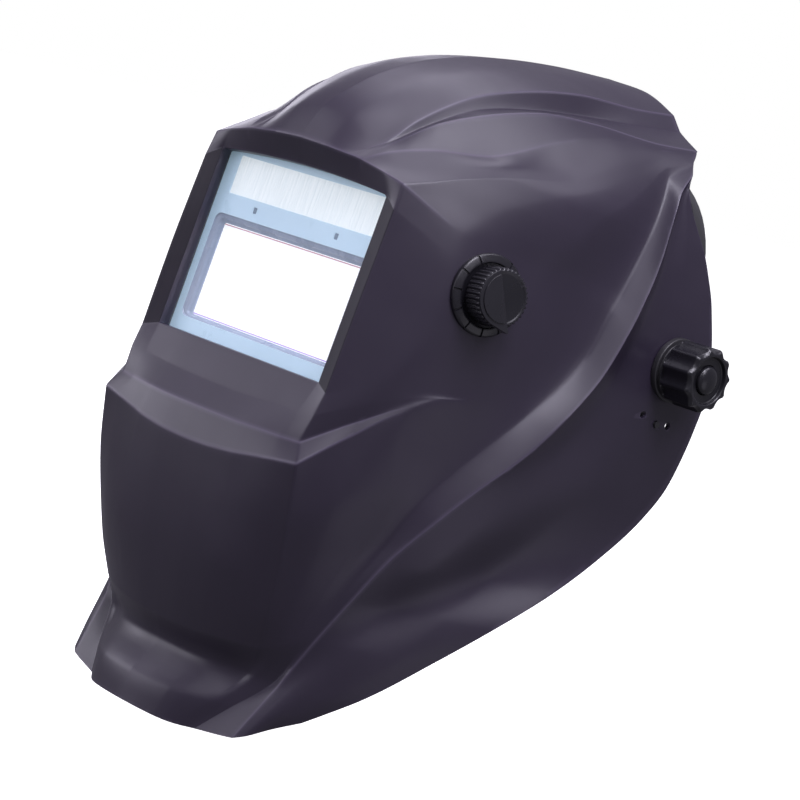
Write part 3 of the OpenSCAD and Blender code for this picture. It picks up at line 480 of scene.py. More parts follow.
# ---------- the shell's skin ----------
# The same net as the CAD shell's. A row runs from the centre line out to the rear rim, and the rows
# follow each other from the crown's rear edge forward, down the face and out to the chin.
SKIN = [
    # rear edge of the crown
    [[0, 28, 118], [27, 26, 115.5], [52, 19, 108], [58, 19, 101.5], [80, 8, 94.6],
     [81, 6.5, 94], [82, 5.5, 93.2], [83, 4.3, 92.2], [84, 3, 91], [85, 1.5, 89.7],
     [86.5, 0, 88], [90.5, -3.5, 84], [91.2, -4.5, 82.5], [92, -5.5, 81], [92.8, -7, 79]],
    # crown
    [[0, -8, 117], [25, -8, 114.5], [50, -5, 106.3], [55, -11, 99], [75, -15, 93.5],
     [77, -15.3, 92.3], [79, -15.5, 90.8], [80.5, -15.5, 89.3], [82, -15.5, 87.5], [84.5, -15, 84.5],
     [87, -14.4, 80.5], [95, -13, 75.5], [93.5, -10.5, 74], [94.5, -8, 72.5], [95.5, -5, 70.5]],
    # crown
    [[0, -38, 114.5], [23, -38, 112], [46.4, -38, 106.2], [50.4, -36, 97.3], [66, -44, 95],
     [72.5, -43, 90.5], [77.5, -41, 86], [81, -38, 82.5], [84, -33, 79.5], [87, -26, 76.5],
     [90, -18, 73], [98.5, -17.5, 68], [95.5, -13, 66.5], [97, -7, 64.5], [98, 0, 61.5]],
    # crown
    [[0, -70, 109.5], [21, -70, 107], [42.4, -70.3, 101.1], [46.4, -67.8, 94], [58.9, -70.3, 94.2],
     [70, -72, 83], [78.5, -71, 73.5], [83, -67, 70], [87, -56, 68.5], [90.5, -40, 66.5],
     [93, -22, 64], [101.5, -21.5, 58.5], [98, -17, 57.5], [99.5, -6, 56], [100.5, 5.5, 52.5]],
    # crown
    [[0, -98, 101.5], [19, -98, 99], [39.4, -97.4, 92.6], [42.5, -96.6, 88], [50, -97.4, 86.9],
     [63, -101, 70.9], [72, -102, 68], [77, -101, 64.3], [86, -80, 61], [92, -54, 58.5],
     [95, -26, 54.8], [104.2, -25.3, 47.5], [100, -19, 47.5], [101.5, -6, 46.5], [102.5, 10.5, 42]],
    # crown
    [[0, -122, 90], [18, -121, 87.3], [36.6, -121.6, 78], [38, -120.3, 75.6], [43.3, -116.7, 78.7],
     [51, -122, 67.8], [64, -122, 62.5], [70, -123, 59], [83, -98, 54], [92, -65, 49],
     [96.3, -30.5, 44], [105.8, -28.8, 36.5], [101.5, -21, 37.5], [103, -5, 37], [104, 14, 33.5]],
    # crown, just behind the window arch
    [[0, -142, 74.5], [17, -141, 72.5], [34.5, -137.5, 64.5], [35.5, -136.5, 65], [37, -135, 65.5],
     [41.5, -139, 62.5], [54, -138.5, 57.5], [65, -137, 54.5], [80, -113, 45], [91, -74, 40],
     [97.1, -34.5, 35], [106.8, -32.5, 27], [102.3, -23, 29], [104, -4, 28.5], [105, 17, 24.5]],
    # arch over the window, top of its frame
    [[0, -151.5, 59.6], [15, -151.3, 59], [29, -149.8, 58], [32, -149.4, 57.8], [34.5, -149, 57.6],
     [37, -148.5, 57.2], [50, -147, 54.8], [61.5, -145, 52], [79, -121, 38], [89.8, -80, 32],
     [97.6, -38, 27], [107.3, -35.3, 19.5], [102.8, -25, 21.5], [104.5, -3, 20.5], [106, 19.4, 16]],
    # top edge of the window opening
    [[0, -145.3, 48.3], [15, -145.3, 48.1], [29, -145.4, 47.6], [32, -145.4, 47.5], [34.5, -145.4, 47.4],
     [37, -145.4, 47.2], [54.1, -145.4, 45.9], [62.3, -147.5, 41], [79.8, -124, 28], [89.6, -84, 24],
     [97.9, -41.5, 20], [107.6, -38.5, 12], [103, -27, 14], [105, -3, 13], [106.5, 21.5, 8.5]],
    # middle of the window
    [[0, -151.3, 6], [15, -151.3, 6], [29, -151.3, 6], [32, -151.3, 6], [34.5, -151.3, 6],
     [37, -151.3, 6], [54.1, -151.3, 5.5], [62.6, -154, 3], [81, -129, -3], [90.8, -90, -3],
     [98, -50, -3], [107.3, -47.5, -8], [103.5, -35, -6], [105.5, -5, -5], [107, 24.5, -8]],
    # bottom edge of the window opening
    [[0, -157.6, -35.2], [15, -157.6, -35.2], [29, -157.6, -35.2], [32, -157.6, -35.2], [34.5, -157.6, -35.2],
     [37, -157.6, -35.2], [54.1, -157.4, -35.3], [62.2, -160, -38], [77.5, -139, -26.5], [89, -107, -28],
     [95.5, -75, -31], [104.5, -66, -34.5], [103.3, -45, -28], [106, -8, -24], [107, 22.3, -25]],
    # bottom of the window frame
    [[0, -164.2, -49.9], [15, -164.1, -49.8], [29, -163.8, -49.4], [32, -163.7, -49.3], [34.5, -163.6, -49.2],
     [37, -163.4, -49], [52, -162.9, -48.3], [62, -162.8, -47.5], [75.7, -142.3, -36], [86.5, -118.5, -30],
     [93.7, -85, -40.5], [102.5, -73.5, -44], [102.5, -52, -38], [106, -14, -33], [106.5, 19.2, -40]],
    # step below the window
    [[0, -172, -60.2], [15, -171.8, -60.2], [29, -171, -60.1], [32, -170.7, -60], [34.5, -170.4, -60],
     [37, -170.1, -59.9], [50, -168.2, -59.8], [60.5, -165.6, -59.5], [72.6, -146.4, -45.5], [83.6, -128.2, -35],
     [91.7, -94, -49.5], [100, -82.5, -53.5], [101.5, -60, -49], [105.5, -24, -44], [106, 14.5, -54]],
    # top edge of the muzzle
    [[0, -176, -73.9], [15, -175.7, -73.5], [29, -174.6, -72.4], [32, -174.3, -72.1], [34.5, -173.9, -71.7],
     [37, -173.5, -71.3], [52, -171.5, -69.2], [65.5, -169.2, -67.6], [72.8, -150.2, -52], [83, -130, -37.5],
     [90, -101, -57], [97.5, -91, -61.5], [100, -70, -61], [104.5, -32, -57], [105, 4, -69.5]],
    # muzzle
    [[0, -175.5, -94], [15, -175.3, -94], [29, -174.2, -93.6], [32, -173.8, -93.4], [34.5, -173.4, -93.3],
     [37, -173, -93.2], [51.5, -170, -93], [64.7, -165.5, -92.8], [74.4, -151, -80], [82, -131.5, -70],
     [85.5, -115, -75], [91.5, -108.5, -81], [96, -90, -82], [99.8, -49.3, -78.3], [105, -16.5, -87.6]],
    # muzzle
    [[0, -173, -120], [15, -172.8, -120], [29, -171.6, -119.5], [32, -171.2, -119.3], [34.5, -170.8, -119.1],
     [37, -170.3, -118.9], [49.5, -166.5, -118.3], [61.5, -160.5, -117.5], [69, -150, -110], [74.8, -137, -103],
     [80, -123, -97], [84, -121, -99.5], [89.3, -106.3, -102.1], [93.3, -67.8, -102.6], [105.5, -43, -105.6]],
    # muzzle and the start of the flare along the lower edge
    [[0, -169.6, -137], [13.6, -169.4, -137], [26.6, -168, -136.6], [29.6, -167.5, -136.4], [32.4, -166.9, -136.2],
     [35.1, -166.3, -136], [46.4, -162.7, -135.4], [57.5, -157.2, -134.8], [64.3, -150.6, -129], [69.6, -142.4, -123.5],
     [74.2, -133.4, -119.3], [76.6, -130.3, -120.6], [79.8, -114.3, -122.6], [92.3, -89, -122.5], [101.7, -68.2, -123]],
    # bottom edge of the muzzle
    [[0, -165.8, -152], [12, -165.5, -151.9], [24, -164.1, -151.4], [27, -163.6, -151.2], [30, -163, -151],
     [33, -162.3, -150.8], [43, -158.7, -150.3], [53, -153.2, -149.8], [59, -149.5, -146.5], [63.5, -146, -143.5],
     [67.5, -141.5, -141.5], [69.5, -138.5, -141], [77, -127, -141], [88.1, -106.1, -141.7], [94, -88.6, -139.8]],
    # trough above the chin lip
    [[0, -161.3, -162], [12, -160.8, -162], [22, -159.3, -162], [25, -158.6, -162], [28, -157.8, -162],
     [31, -156.8, -162], [39, -153.2, -162], [47, -149.6, -162.3], [50, -149, -163], [53, -147, -163.2],
     [57, -144, -163.5], [61, -145.5, -164.5], [66, -144, -165], [74, -134, -164.8], [82.1, -117.6, -162.7]],
    # flare of the chin lip
    [[0, -172.6, -177.6], [11, -171.8, -177.8], [20, -170.1, -178], [22.7, -169.4, -178], [25.4, -168.4, -178],
     [28.2, -167.2, -178], [33.6, -164.2, -178], [38.9, -160.6, -178], [41.2, -158.6, -178], [43.4, -156.6, -178.2],
     [46, -154.4, -178.4], [58.6, -152.8, -177.4], [62.8, -150.8, -176.6], [69.2, -140.8, -173.8], [76.2, -127.4, -170]],
    # chin rim
    [[0, -175.5, -190], [10, -174.5, -190.3], [18, -173, -190.6], [20.5, -172.4, -190.7], [23, -171.6, -190.8],
     [25.5, -170.6, -190.9], [28.5, -168.8, -191], [31.5, -166.6, -191], [33.5, -165, -190.9], [35, -163.8, -190.8],
     [36.8, -162.6, -190.7], [56.5, -158.5, -187.8], [60, -156, -186], [65, -146, -181], [71, -135.5, -176]],
]
# Lines across: [line, first row, sharpness at that row and at each one after it]
ACROSS_EDGES = [
    (2, 0, [0.9, 0.9, 0.95, 1, 1, 0.9, 0.4]),
    (3, 0, [0.8, 0.8, 0.8, 0.7, 0.6, 0.3]),
    (4, 0, [1, 1, 1, 1, 1, 0.8, 0.3]),
    (5, 3, [0.3, 0.9, 0.9, 0.9, 0.3]),
    (6, 7, [1, 1, 1, 1, 1, 1]),
    (7, 3, [0.5, 0.8, 0.9, 0.95, 1, 1, 1, 1, 1, 1, 1, 1, 1, 1, 1]),
    (10, 1, [0.4] * 17 + [1, 1, 1]),
    (11, 0, [1] * 18 + [0.8, 0.8, 0.8]),
]
# Rows: [row, sharpness over the face, sharpness at line 8]
DOWN_EDGES = [(7, 1, 0), (8, 1, 0), (10, 1, 0), (11, 1, 0), (12, 1, 1), (13, 1, 1), (17, 1, 0)]
FACE_LINES = 7
# The lines and rows along whose ridges a thin painted highlight runs, where light would catch the edge
RIDGE_HIGHLIGHT_LINES = (2, 4, 5, 11)
RIDGE_HIGHLIGHT_ROWS = (7, 12, 13)
RIDGE_HIGHLIGHT_WIDTH = 1.1
WINDOW_LINE, WINDOW_ROWS = 6, (8, 10)
WALL = 2.4
CORE_LOW = np.array((-50, -90, -150.0))
CORE_HIGH = np.array((50, 10, 40.0))
# Where the finer points lie between two points of the net: close together near its lines
STEPS = (0, 0.04, 0.12, 0.3, 0.5, 0.7, 0.88, 0.96)


def curve(points, sharp, steps):
    """Hermite curves through points[i], which may be whole rows of points."""
    between = np.diff(points, axis=0)
    length = np.maximum(np.linalg.norm(between, axis=-1, keepdims=True), 1e-6)
    heading = between / length
    tangent = np.zeros_like(points)
    tangent[0] = heading[0]
    tangent[-1] = heading[-1]
    tangent[1:-1] = (heading[:-1] * length[1:] + heading[1:] * length[:-1]) / (length[1:] + length[:-1])
    result = []
    for i in range(len(points) - 1):
        w0 = sharp[i][..., None]
        w1 = sharp[i + 1][..., None]
        a = (tangent[i] * (1 - w0) + heading[i] * w0) * length[i]
        b = (tangent[i + 1] * (1 - w1) + heading[i] * w1) * length[i]
        for t in steps:
            result.append(
                (2 * t**3 - 3 * t**2 + 1) * points[i]
                + (t**3 - 2 * t**2 + t) * a
                + (3 * t**2 - 2 * t**3) * points[i + 1]
                + (t**3 - t**2) * b
            )
    result.append(points[-1])
    return np.array(result)


def spread(values, steps):
    result = [values[i] + (values[i + 1] - values[i]) * t for i in range(len(values) - 1) for t in steps]
    return np.array(result + [values[-1]])


def skin_grid():
    """The outside of the shell's left half as a grid of points, and how much painted ridge highlight each point takes.
    """
    net = np.array(SKIN, float)
    rows, lines = net.shape[:2]
    across = np.zeros((rows, lines))
    down = np.zeros((rows, lines))
    for line, first, values in ACROSS_EDGES:
        across[first : first + len(values), line] = values
    for row, face, side in DOWN_EDGES:
        down[row, : FACE_LINES + 1] = face
        down[row, FACE_LINES + 1] = side
    fine = curve(net.transpose(1, 0, 2), across.T, STEPS)
    sharp = spread(down.T, STEPS)
    half = curve(fine.transpose(1, 0, 2), sharp.T, STEPS)
    n = len(STEPS)
    ridge = np.zeros(half.shape[:2])
    for line in RIDGE_HIGHLIGHT_LINES:
        ridge[:, line * n] = spread(across[:, line], STEPS)
    for row in RIDGE_HIGHLIGHT_ROWS:
        ridge[row * n] = np.maximum(ridge[row * n], sharp[:, row])
    return half, ridge


def eased(grid, fixed):
    """Rounds the skin's edges a little, leaving the fixed points."""
    near = grid.copy()
    near[1:-1, 1:-1] = (
        grid[1:-1, 1:-1] * 2 + grid[:-2, 1:-1] + grid[2:, 1:-1] + grid[1:-1, :-2] + grid[1:-1, 2:]
    ) / 6
    return np.where(fixed[..., None], grid, near)


def mark_ridges(obj, points, ridge):
    """Stores how much painted ridge highlight each corner of a piece takes, for its material."""
    kept = ridge > 0.2
    tree = KDTree(int(kept.sum()))
    for i, p in enumerate(points[kept]):
        tree.insert(Vector(p) * MM, i)
    tree.balance()
    amounts = ridge[kept]
    values = []
    for v in obj.data.vertices:
        _, i, distance = tree.find(v.co)
        values.append(amounts[i] * max(0, 1 - distance / (RIDGE_HIGHLIGHT_WIDTH * MM)))
    obj.data.attributes.new("ridge", "FLOAT", "POINT").data.foreach_set("value", values)


def inward(points):
    away = points - np.clip(points, CORE_LOW, CORE_HIGH)
    return points - WALL * away / np.linalg.norm(away, axis=-1, keepdims=True)


def cut(obj, cutter):
    """Takes the cutter out of a piece and removes the cutter."""
    modifier = obj.modifiers.new("holes", "BOOLEAN")
    modifier.object = cutter
    modifier.operation = "DIFFERENCE"
    modifier.solver = "EXACT"
    apply_modifiers(obj)
    bpy.data.objects.remove(cutter)
    return obj


STOP_ANGLES = (239, 261, 279)
STOP_R = 25.2
STOP_HOLE_R = 1.7
BOLT_HOLE_R = 6.08
DIAL_HOLE_R = 3.5


def stop_place(angle, side):
    """Z of this place runs out along X through a stop hole."""
    return on_side(side) @ turned(angle - 90, "X") @ Matrix.Translation((0, 0, STOP_R)) @ ALONG_X


def round_bar(bm, r, z0, z1, place, steps):
    ring = [(r * math.cos(2 * math.pi * k / steps), r * math.sin(2 * math.pi * k / steps)) for k in range(steps)]
    prism(bm, ring, z0, z1, place)


def make_shell():
    half, ridge = skin_grid()
    rows, lines = half.shape[:2]
    mirrored = half[:, :0:-1] * np.array((-1, 1, 1))
    grid = np.concatenate((mirrored, half), axis=1)
    ridge = np.concatenate((ridge[:, :0:-1], ridge), axis=1)
    n = len(STEPS)
    middle = lines - 1
    first_row, last_row = (r * n for r in WINDOW_ROWS)
    edge = WINDOW_LINE * n
    fixed = np.zeros(grid.shape[:2], bool)
    fixed[first_row : last_row + 1, middle - edge : middle + edge + 1] = True
    grid = eased(grid, fixed)
    inner = inward(grid)
    bm = bmesh.new()
    out_v = [[bm.verts.new(Vector(p) * MM) for p in row] for row in grid]
    in_v = [[bm.verts.new(Vector(p) * MM) for p in row] for row in inner]
    width = 2 * lines - 1

    def present(r, c):
        if not (0 <= r < rows - 1 and 0 <= c < width - 1):
            return False
        return not (first_row <= r < last_row and middle - edge <= c < middle + edge)

    for r in range(rows - 1):
        for c in range(width - 1):
            if not present(r, c):
                continue
            a, b, d, e = (r, c), (r, c + 1), (r + 1, c), (r + 1, c + 1)
            outside = bm.faces.new([out_v[i][j] for i, j in (a, d, e, b)])
            # The facets beside the window take painted shade: a darker, less glossy copy of the shell plastic
            beside = abs(c + 0.5 - middle) - edge
            outside.material_index = 1 if first_row <= r < last_row and 0 < beside < n else 0
            bm.faces.new([in_v[i][j] for i, j in (a, b, e, d)])
            for near, (p, q) in (
                ((r - 1, c), (a, b)),
                ((r + 1, c), (e, d)),
                ((r, c - 1), (d, a)),
                ((r, c + 1), (b, e)),
            ):
                if not present(*near):
                    bm.faces.new((out_v[p[0]][p[1]], out_v[q[0]][q[1]], in_v[q[0]][q[1]], in_v[p[0]][p[1]]))
    loose = [v for v in bm.verts if not v.link_faces]
    bmesh.ops.delete(bm, geom=loose, context="VERTS")
    shell = new_object("helmet_shell", bm, [SHELL, FRAME_SHADE])
    holes = bmesh.new()
    round_bar(holes, BOLT_HOLE_R, -125, 125, IN_ROW @ ALONG_X, 48)
    for side in (-1, 1):
        for angle in STOP_ANGLES:
            round_bar(holes, STOP_HOLE_R, 95, 115, stop_place(angle, side), 24)
    round_bar(holes, DIAL_HOLE_R, -8, 8, IN_DIAL, 32)
    cut(shell, new_object("shell_holes", holes, SHELL))
    bevel(shell, 0.55, 3, 50)
    apply_modifiers(shell)
    smooth(shell, 50)
    mark_ridges(shell, grid, ridge)
    return piece(shell, "visor", "shell_plastic", "shell")


make_shell()


# ---------- window rim ----------
HALF, LOW, CORNER, TOP = 54.1, -29.9, 52.2, 54.6
CORNER_R = 2.6
ARC_STEPS = 24


def opening(grow):
    """The window opening's outline: straight sides and sill, arched head, small corners."""
    half = HALF + grow
    bend = half - CORNER_R
    head = CORNER + grow
    turns = [math.radians(15 * k) for k in range(7)]
    points = [(-half, LOW - grow), (half, LOW - grow)]
    for a in turns:
        points.append((bend + CORNER_R * math.cos(a), head - CORNER_R + CORNER_R * math.sin(a)))
    for k in range(1, ARC_STEPS):
        x = 1 - 2 * k / ARC_STEPS
        points.append((x * bend, head + (TOP - CORNER) * (1 - x * x)))
    for a in reversed(turns):
        points.append((-bend - CORNER_R * math.cos(a), head - CORNER_R + CORNER_R * math.sin(a)))
    return points


def make_rim():
    bm = bmesh.new()
    place = along_window()
    # Each entry is (how far outside the opening, depth along the window's Y)
    section = [(0, -4.6), (0, -8.8), (0.35, -9.2), (1.6, -9.2), (1.9, -8.9), (1.9, -4.6)]
    loops = [[(x, y, depth) for x, y in opening(grow)] for grow, depth in section]
    loft(bm, loops, place, closed=True)
    return piece(smooth(new_object("window_rim", bm, SHELL), 40), "visor", "shell_plastic")


make_rim()


# ---------- CAD parts with finished edges ----------
def refined(node, width):
    """A copy of a CAD part with its edges rounded, which stands for the part."""
    mesh = NODES[node].data.copy()
    mesh.materials.clear()
    mesh.materials.append(SLOT_MATERIALS[SLOT_OF[node]])
    bm = bmesh.new()
    bm.from_mesh(mesh)
    bmesh.ops.remove_doubles(bm, verts=bm.verts, dist=2e-6)
    bmesh.ops.dissolve_limit(bm, angle_limit=math.radians(0.5), verts=bm.verts, edges=bm.edges)
    for face in bm.faces:
        face.material_index = 0
    bm.to_mesh(mesh)
    bm.free()
    obj = bpy.data.objects.new(node + "_finished", mesh)
    bpy.context.scene.collection.objects.link(obj)
    softened(obj, width)
    return piece(obj, BODY_OF[node], SLOT_OF[node], node)


for name, width in (
    ("filter_case_back", 0.5),
    ("filter_holder", 0.5),
    ("holder_latch", 0.5),
    ("holder_screws", 0.2),
    ("inner_cover_plate", 0.2),
    ("cover_plate", 0.2),
    ("sensitivity_dial", 0.25),
    ("delay_dial", 0.25),
    ("circuit_board", 0.2),
    ("coin_cells", 0.3),
    ("lcd_panel", 0.2),
    ("shade_pot", 0.2),
    ("shade_nut", 0.25),
    ("shade_shaft", 0.2),
    ("stop_plate_left", 0.4),
    ("stop_plate_right", 0.4),
    ("pivot_bolt_left", 0.3),
    ("pivot_bolt_right", 0.3),
    ("friction_washer_left", 0.2),
    ("friction_washer_right", 0.2),
    ("side_arm_left", 0.4),
    ("side_arm_right", 0.4),
    ("arm_rivets", 0.3),
    ("front_band", 0.5),
    ("rear_band_left", 0.4),
    ("rear_band_right", 0.4),
    ("ratchet_housing", 0.6),
    ("ratchet_cover", 0.5),
    ("ratchet_pinion", 0.2),
    ("ratchet_knob", 0.5),
    ("crown_strap_front_left", 0.4),
    ("crown_strap_front_right", 0.4),
    ("crown_strap_rear_left", 0.4),
    ("crown_strap_rear_right", 0.4),
    ("strap_pins", 0.3),
    ("strap_studs", 0.3),
    ("uv_ir_glass", 0.1),
):
    refined(name, width)


# ---------- filter cartridge ----------
# In the window's frame: the cartridge's middle, the solar cell's, and how far out and up the sensors are
PLATE_Z = 11
CELL_Z = 43
SENSOR_X, SENSOR_Z = 27, 30
CASE_FRONT = -3.1


def cut_with(obj, bm):
    return cut(obj, new_object("cutter", bm, SHELL))


def make_panel():
    """The cartridge's front: pale film with a stepped recess round the viewing area."""
    place = along_window()
    bm = bmesh.new()
    prism(bm, rounded_rect(55, 45, 3, (0, PLATE_Z)), CASE_FRONT, 1, place)
    panel = new_object("filter_panel", bm, [PANEL, BORDER])
    holes = bmesh.new()
    steps = [
        (50.6, 25.0, 23.2, 3.4, -3.3),
        (50.2, 24.6, 22.8, 3.2, -2.4),
        (48.2, 23.0, 22.2, 2.4, -2.1),
        (47.6, 22.6, 21.9, 2.0, -1.1),
        (46.3, 21.4, 21.3, 1.0, -0.5),
        (46.0, 21.0, 21.0, 0.8, 2.0),
    ]
    loops = []
    for half_w, above, below, r, depth in steps:
        outline = rounded_rect(half_w, (above + below) / 2, r, (0, (above - below) / 2))
        loops.append([(x, y, depth) for x, y in outline])
    loft(holes, loops, place)
    prism(holes, rounded_rect(47.5, 8.75, 0.8, (0, CELL_Z)), -4, -2.65, place)
    for side in (-1, 1):
        prism(holes, rounded_rect(1.25, 1.45, 0.4, (side * SENSOR_X, SENSOR_Z)), -4, -2.7, place)
    cut_with(panel, holes)
    to_window = IN_WINDOW.inverted()
    for face in panel.data.polygons:
        c = to_window @ face.center
        inside = abs(c.x) < 50.7 and -23.3 < c.z < 25.1 and c.y > CASE_FRONT + 0.05
        face.material_index = 1 if inside else 0
    softened(panel, 0.18, 20)
    piece(panel, "visor", "case_front", "filter_case_front")


def make_cells():
    place = along_window()
    bm = bmesh.new()
    prism(bm, rounded_rect(47.4, 8.65, 0.7, (0, CELL_Z)), -2.72, -1.1, place)
    piece(softened(new_object("solar_panel", bm, SOLAR), 0.08), "visor", "solar_cell", "solar_cell")
    bm = bmesh.new()
    for side in (-1, 1):
        prism(bm, rounded_rect(1.2, 1.4, 0.35, (side * SENSOR_X, SENSOR_Z)), -2.78, -1.6, place)
    piece(softened(new_object("arc_sensors", bm, SENSOR), 0.15), "visor", "sensor", "light_sensors")
    # Thin strips along the glass's edges: painted colour fringes that light makes at these edges
    for name, color, low, high in (
        ("glass_edge_top", (0.80, 0.36, 0.42), (-46, 20.45), (46, 20.95)),
        ("glass_edge_bottom", (0.60, 0.42, 0.92), (-46, -20.95), (46, -20.45)),
        ("glass_edge_side", (0.60, 0.42, 0.92), (45.5, -20.4), (45.95, 20.4)),
    ):
        bm = bmesh.new()
        outline = [(low[0], low[1]), (high[0], low[1]), (high[0], high[1]), (low[0], high[1])]
        prism(bm, outline, -0.12, -0.02, place)
        tint = moulded(name, color, tuple(c * 0.95 for c in color), 0.3, 0.04, 900, 0.02)
        piece(new_object(name, bm, tint), "visor", "filter_glass")


make_panel()
make_cells()

# ---------- shade dial ----------
TICKS = [math.radians(-150 + 30 * k) for k in range(11)]
POINTER_TURN = 21


def make_dial_ring():
    def ticked(angle, r, z):
        if r < 13.9 or r > 17.3 or z < 0.8:
            return r, z
        near = min(abs((angle - tick + math.pi) % (2 * math.pi) - math.pi) for tick in TICKS)
        depth = 0.7 if near < math.radians(1.3) else 0.0
        return r, z - depth

    profile = rounded(
        [
            (3.6, -1.1), (17.5, -1.1), (17.5, 0.9), (16.9, 1.5), (14.4, 2.1), (13.8, 2.1), (13.6, 1.1),
            (12.6, 1.0), (3.6, 1.0),
        ],
        [0, 0.2, 0.3, 0.3, 0.3, 0.2, 0.2, 0, 0],
        3,
    )
    bm = bmesh.new()
    turned_solid(bm, profile, IN_DIAL, 360, ticked)
    piece(smooth(new_object("dial_ring", bm, KNOB), 45), "visor", "knob_plastic", "shade_ring")


def make_dial_knob():
    flutes = 36
    body = [
        (11.9, 2.6), (12.1, 2.9), (12.1, 11.6), (11.9, 12.1), (11.5, 12.4), (10.9, 12.5), (10.5, 12.2),
        (9.9, 12.1),
    ]

    def fluted(angle, r, z):
        return (r + 0.42 * math.cos(flutes * angle) if 2.8 < z < 12.2 and r > 11.6 else r), z

    bm = bmesh.new()
    stack(bm, body, IN_DIAL, flutes * 8, fluted)
    # The raised half and its pointer, turned so that the pointer shows the shade
    place = IN_DIAL @ turned(POINTER_TURN, "Z")
    tip = 15.0
    touch = math.acos(11.9 / tip)
    outer = [(-11.9, 0.0)]
    inner = [(-10.2, -0.5)]
    for k in range(33):
        a = math.pi + (math.pi - touch) * k / 32
        outer.append((11.9 * math.cos(a), 11.9 * math.sin(a)))
    for k in range(1, 25):
        a = math.pi + (math.pi - 0.12) * k / 24
        inner.append((10.2 * math.cos(a), min(-0.5, 10.2 * math.sin(a))))
    outer += [(tip, -0.25), (tip, 0.0)]
    raised = bmesh.new()
    prism(raised, outer[1:], 9.6, 13.05, place)
    prism(raised, inner, 12.6, 13.55, place)
    knob = new_object("dial_knob", bm, KNOB)
    half = softened(new_object("dial_pointer", raised, KNOB), 0.22, 35)
    smooth(knob, 50)
    piece(knob, "shade", "knob_plastic", "shade_knob")
    piece(half, "shade", "knob_plastic")


make_dial_ring()
make_dial_knob()


# ---------- pivot ----------
LOBES = 11


def make_pivot(side):
    name = "left" if side > 0 else "right"
    place = on_side(side) @ ALONG_X

    def scooped(angle, r, z):
        if r < 12.4 or z < 109.9:
            return r, z
        t = 2 * ((angle * LOBES / (2 * math.pi)) % 1) - 1
        t = min(1, abs(t) * 1.14)
        return r - 1.5 * (1 - t * t) * (0.75 if r < 13 else 1), z

    bm = bmesh.new()
    grip = rounded(
        [
            (5.05, 109.3), (13.7, 109.3), (14.5, 110.2), (14.5, 124.6), (13.3, 126.0), (10.7, 126.0),
            (10.2, 124.0), (6.7, 124.0), (6.6, 122.2), (5.05, 122.2),
        ],
        [0, 0.3, 0.5, 0.7, 0.4, 0.5, 0.4, 0.2, 0, 0],
        3,
    )
    turned_solid(bm, grip, place, LOBES * 24, scooped)
    piece(
        smooth(new_object("pivot_grip_" + name, bm, KNOB), 50),
        name + "_knob", "knob_plastic", "pivot_knob_" + name,
    )
    bm = bmesh.new()
    dome = [
        (6.4, 122.3), (6.4, 124.3), (6.3, 124.9), (5.9, 125.5), (5.1, 126.1), (3.9, 126.6), (2.4, 126.9),
        (0.8, 127.0),
    ]
    stack(bm, dome, place, 64)
    piece(
        smooth(new_object("pivot_dome_" + name, bm, KNOB), 50),
        name + "_knob", "knob_plastic", "pivot_cap_" + name,
    )
    bm = bmesh.new()
    collar = rounded(
        [(6.15, 104.6), (14.5, 104.6), (14.5, 107.4), (12.5, 107.7), (12.5, 109.0), (6.15, 109.0)],
        [0, 0.4, 0.5, 0.3, 0.3, 0],
        3,
    )
    turned_solid(bm, collar, place, 96)
    piece(
        smooth(new_object("pivot_ring_" + name, bm, BLACK), 50),
        "visor", "knob_plastic", "pivot_collar_" + name,
    )


make_pivot(1)
make_pivot(-1)


# ---------- dial lead ----------
LEAD = [
    (72.5, -104.1, 14.5), (68, -103.2, 14.1), (64, -103.5, 13), (60.5, -106, 11.5), (58.5, -110, 11),
    (57.5, -114, 13), (57, -117.5, 17), (56.5, -119.5, 22), (55.5, -120.5, 27), (54, -121, 32),
    (51.5, -121.5, 36.5), (48.5, -123, 40), (46.5, -126, 41.6), (46, -130.4, 41.6),
]
LEAD_R = 1.4
LEAD_SIDES = 16


def swept(bm, path, r, sides):
    loops = []
    for i, p in enumerate(path):
        along = (path[min(i + 1, len(path) - 1)] - path[max(i - 1, 0)]).normalized()
        u = along.cross(Vector((0.3, 1, 0.2))).normalized()
        v = along.cross(u)
        turns = [2 * math.pi * k / sides for k in range(sides)]
        loops.append([p + r * (math.cos(a) * u + math.sin(a) * v) for a in turns])
    loft(bm, loops, IN_ROW)


def make_lead():
    points = np.array(LEAD, float)
    path = curve(points, np.zeros(len(points)), (0, 0.25, 0.5, 0.75))
    bm = bmesh.new()
    swept(bm, [Vector(p) for p in path], LEAD_R, LEAD_SIDES)
    piece(smooth(new_object("dial_lead", bm, RUBBER)), "visor", "rubber", "shade_cable")


make_lead()


# ---------- headgear pads ----------
HEAD_W, HEAD_L = 154, 190


def oval(angle, off):
    a = math.radians(angle)
    return (HEAD_W / 2 + off) * math.cos(a), (HEAD_L / 2 + off) * math.sin(a)


def pad(name, node, low, high, inside, thick, tall, limit):
    """A foam pad on the inside of the headband, swollen by a cloth simulation."""
    count = 48
    loops = []
    for i in range(count + 1):
        t = i / count
        angle = low + (high - low) * t
        end = min(1, 8 * min(t, 1 - t)) ** 0.5 * 0.5 + 0.5
        outline = rounded_rect(thick / 2, tall / 2 * end, min(thick, tall * end) * 0.48, steps=6)
        loop = []
        for u, v in outline:
            x, y = oval(angle, inside + thick / 2 + u)
            loop.append((x, y, v))
        loops.append(loop)
    bm = bmesh.new()
    loft(bm, loops, IN_BAND)
    obj = new_object(name, bm, FABRIC)
    remesh = obj.modifiers.new("remesh", "REMESH")
    remesh.mode = "VOXEL"
    remesh.voxel_size = 0.0022
    apply_modifiers(obj)
    swell(obj, limit * MM)
    rounds = obj.modifiers.new("rounds", "SUBSURF")
    rounds.levels = 1
    rounds.render_levels = 1
    apply_modifiers(obj)
    obj.data.materials.clear()
    obj.data.materials.append(FABRIC)
    obj.data.shade_smooth()
    piece(obj, "headgear", "fabric_pad", node)
    return obj


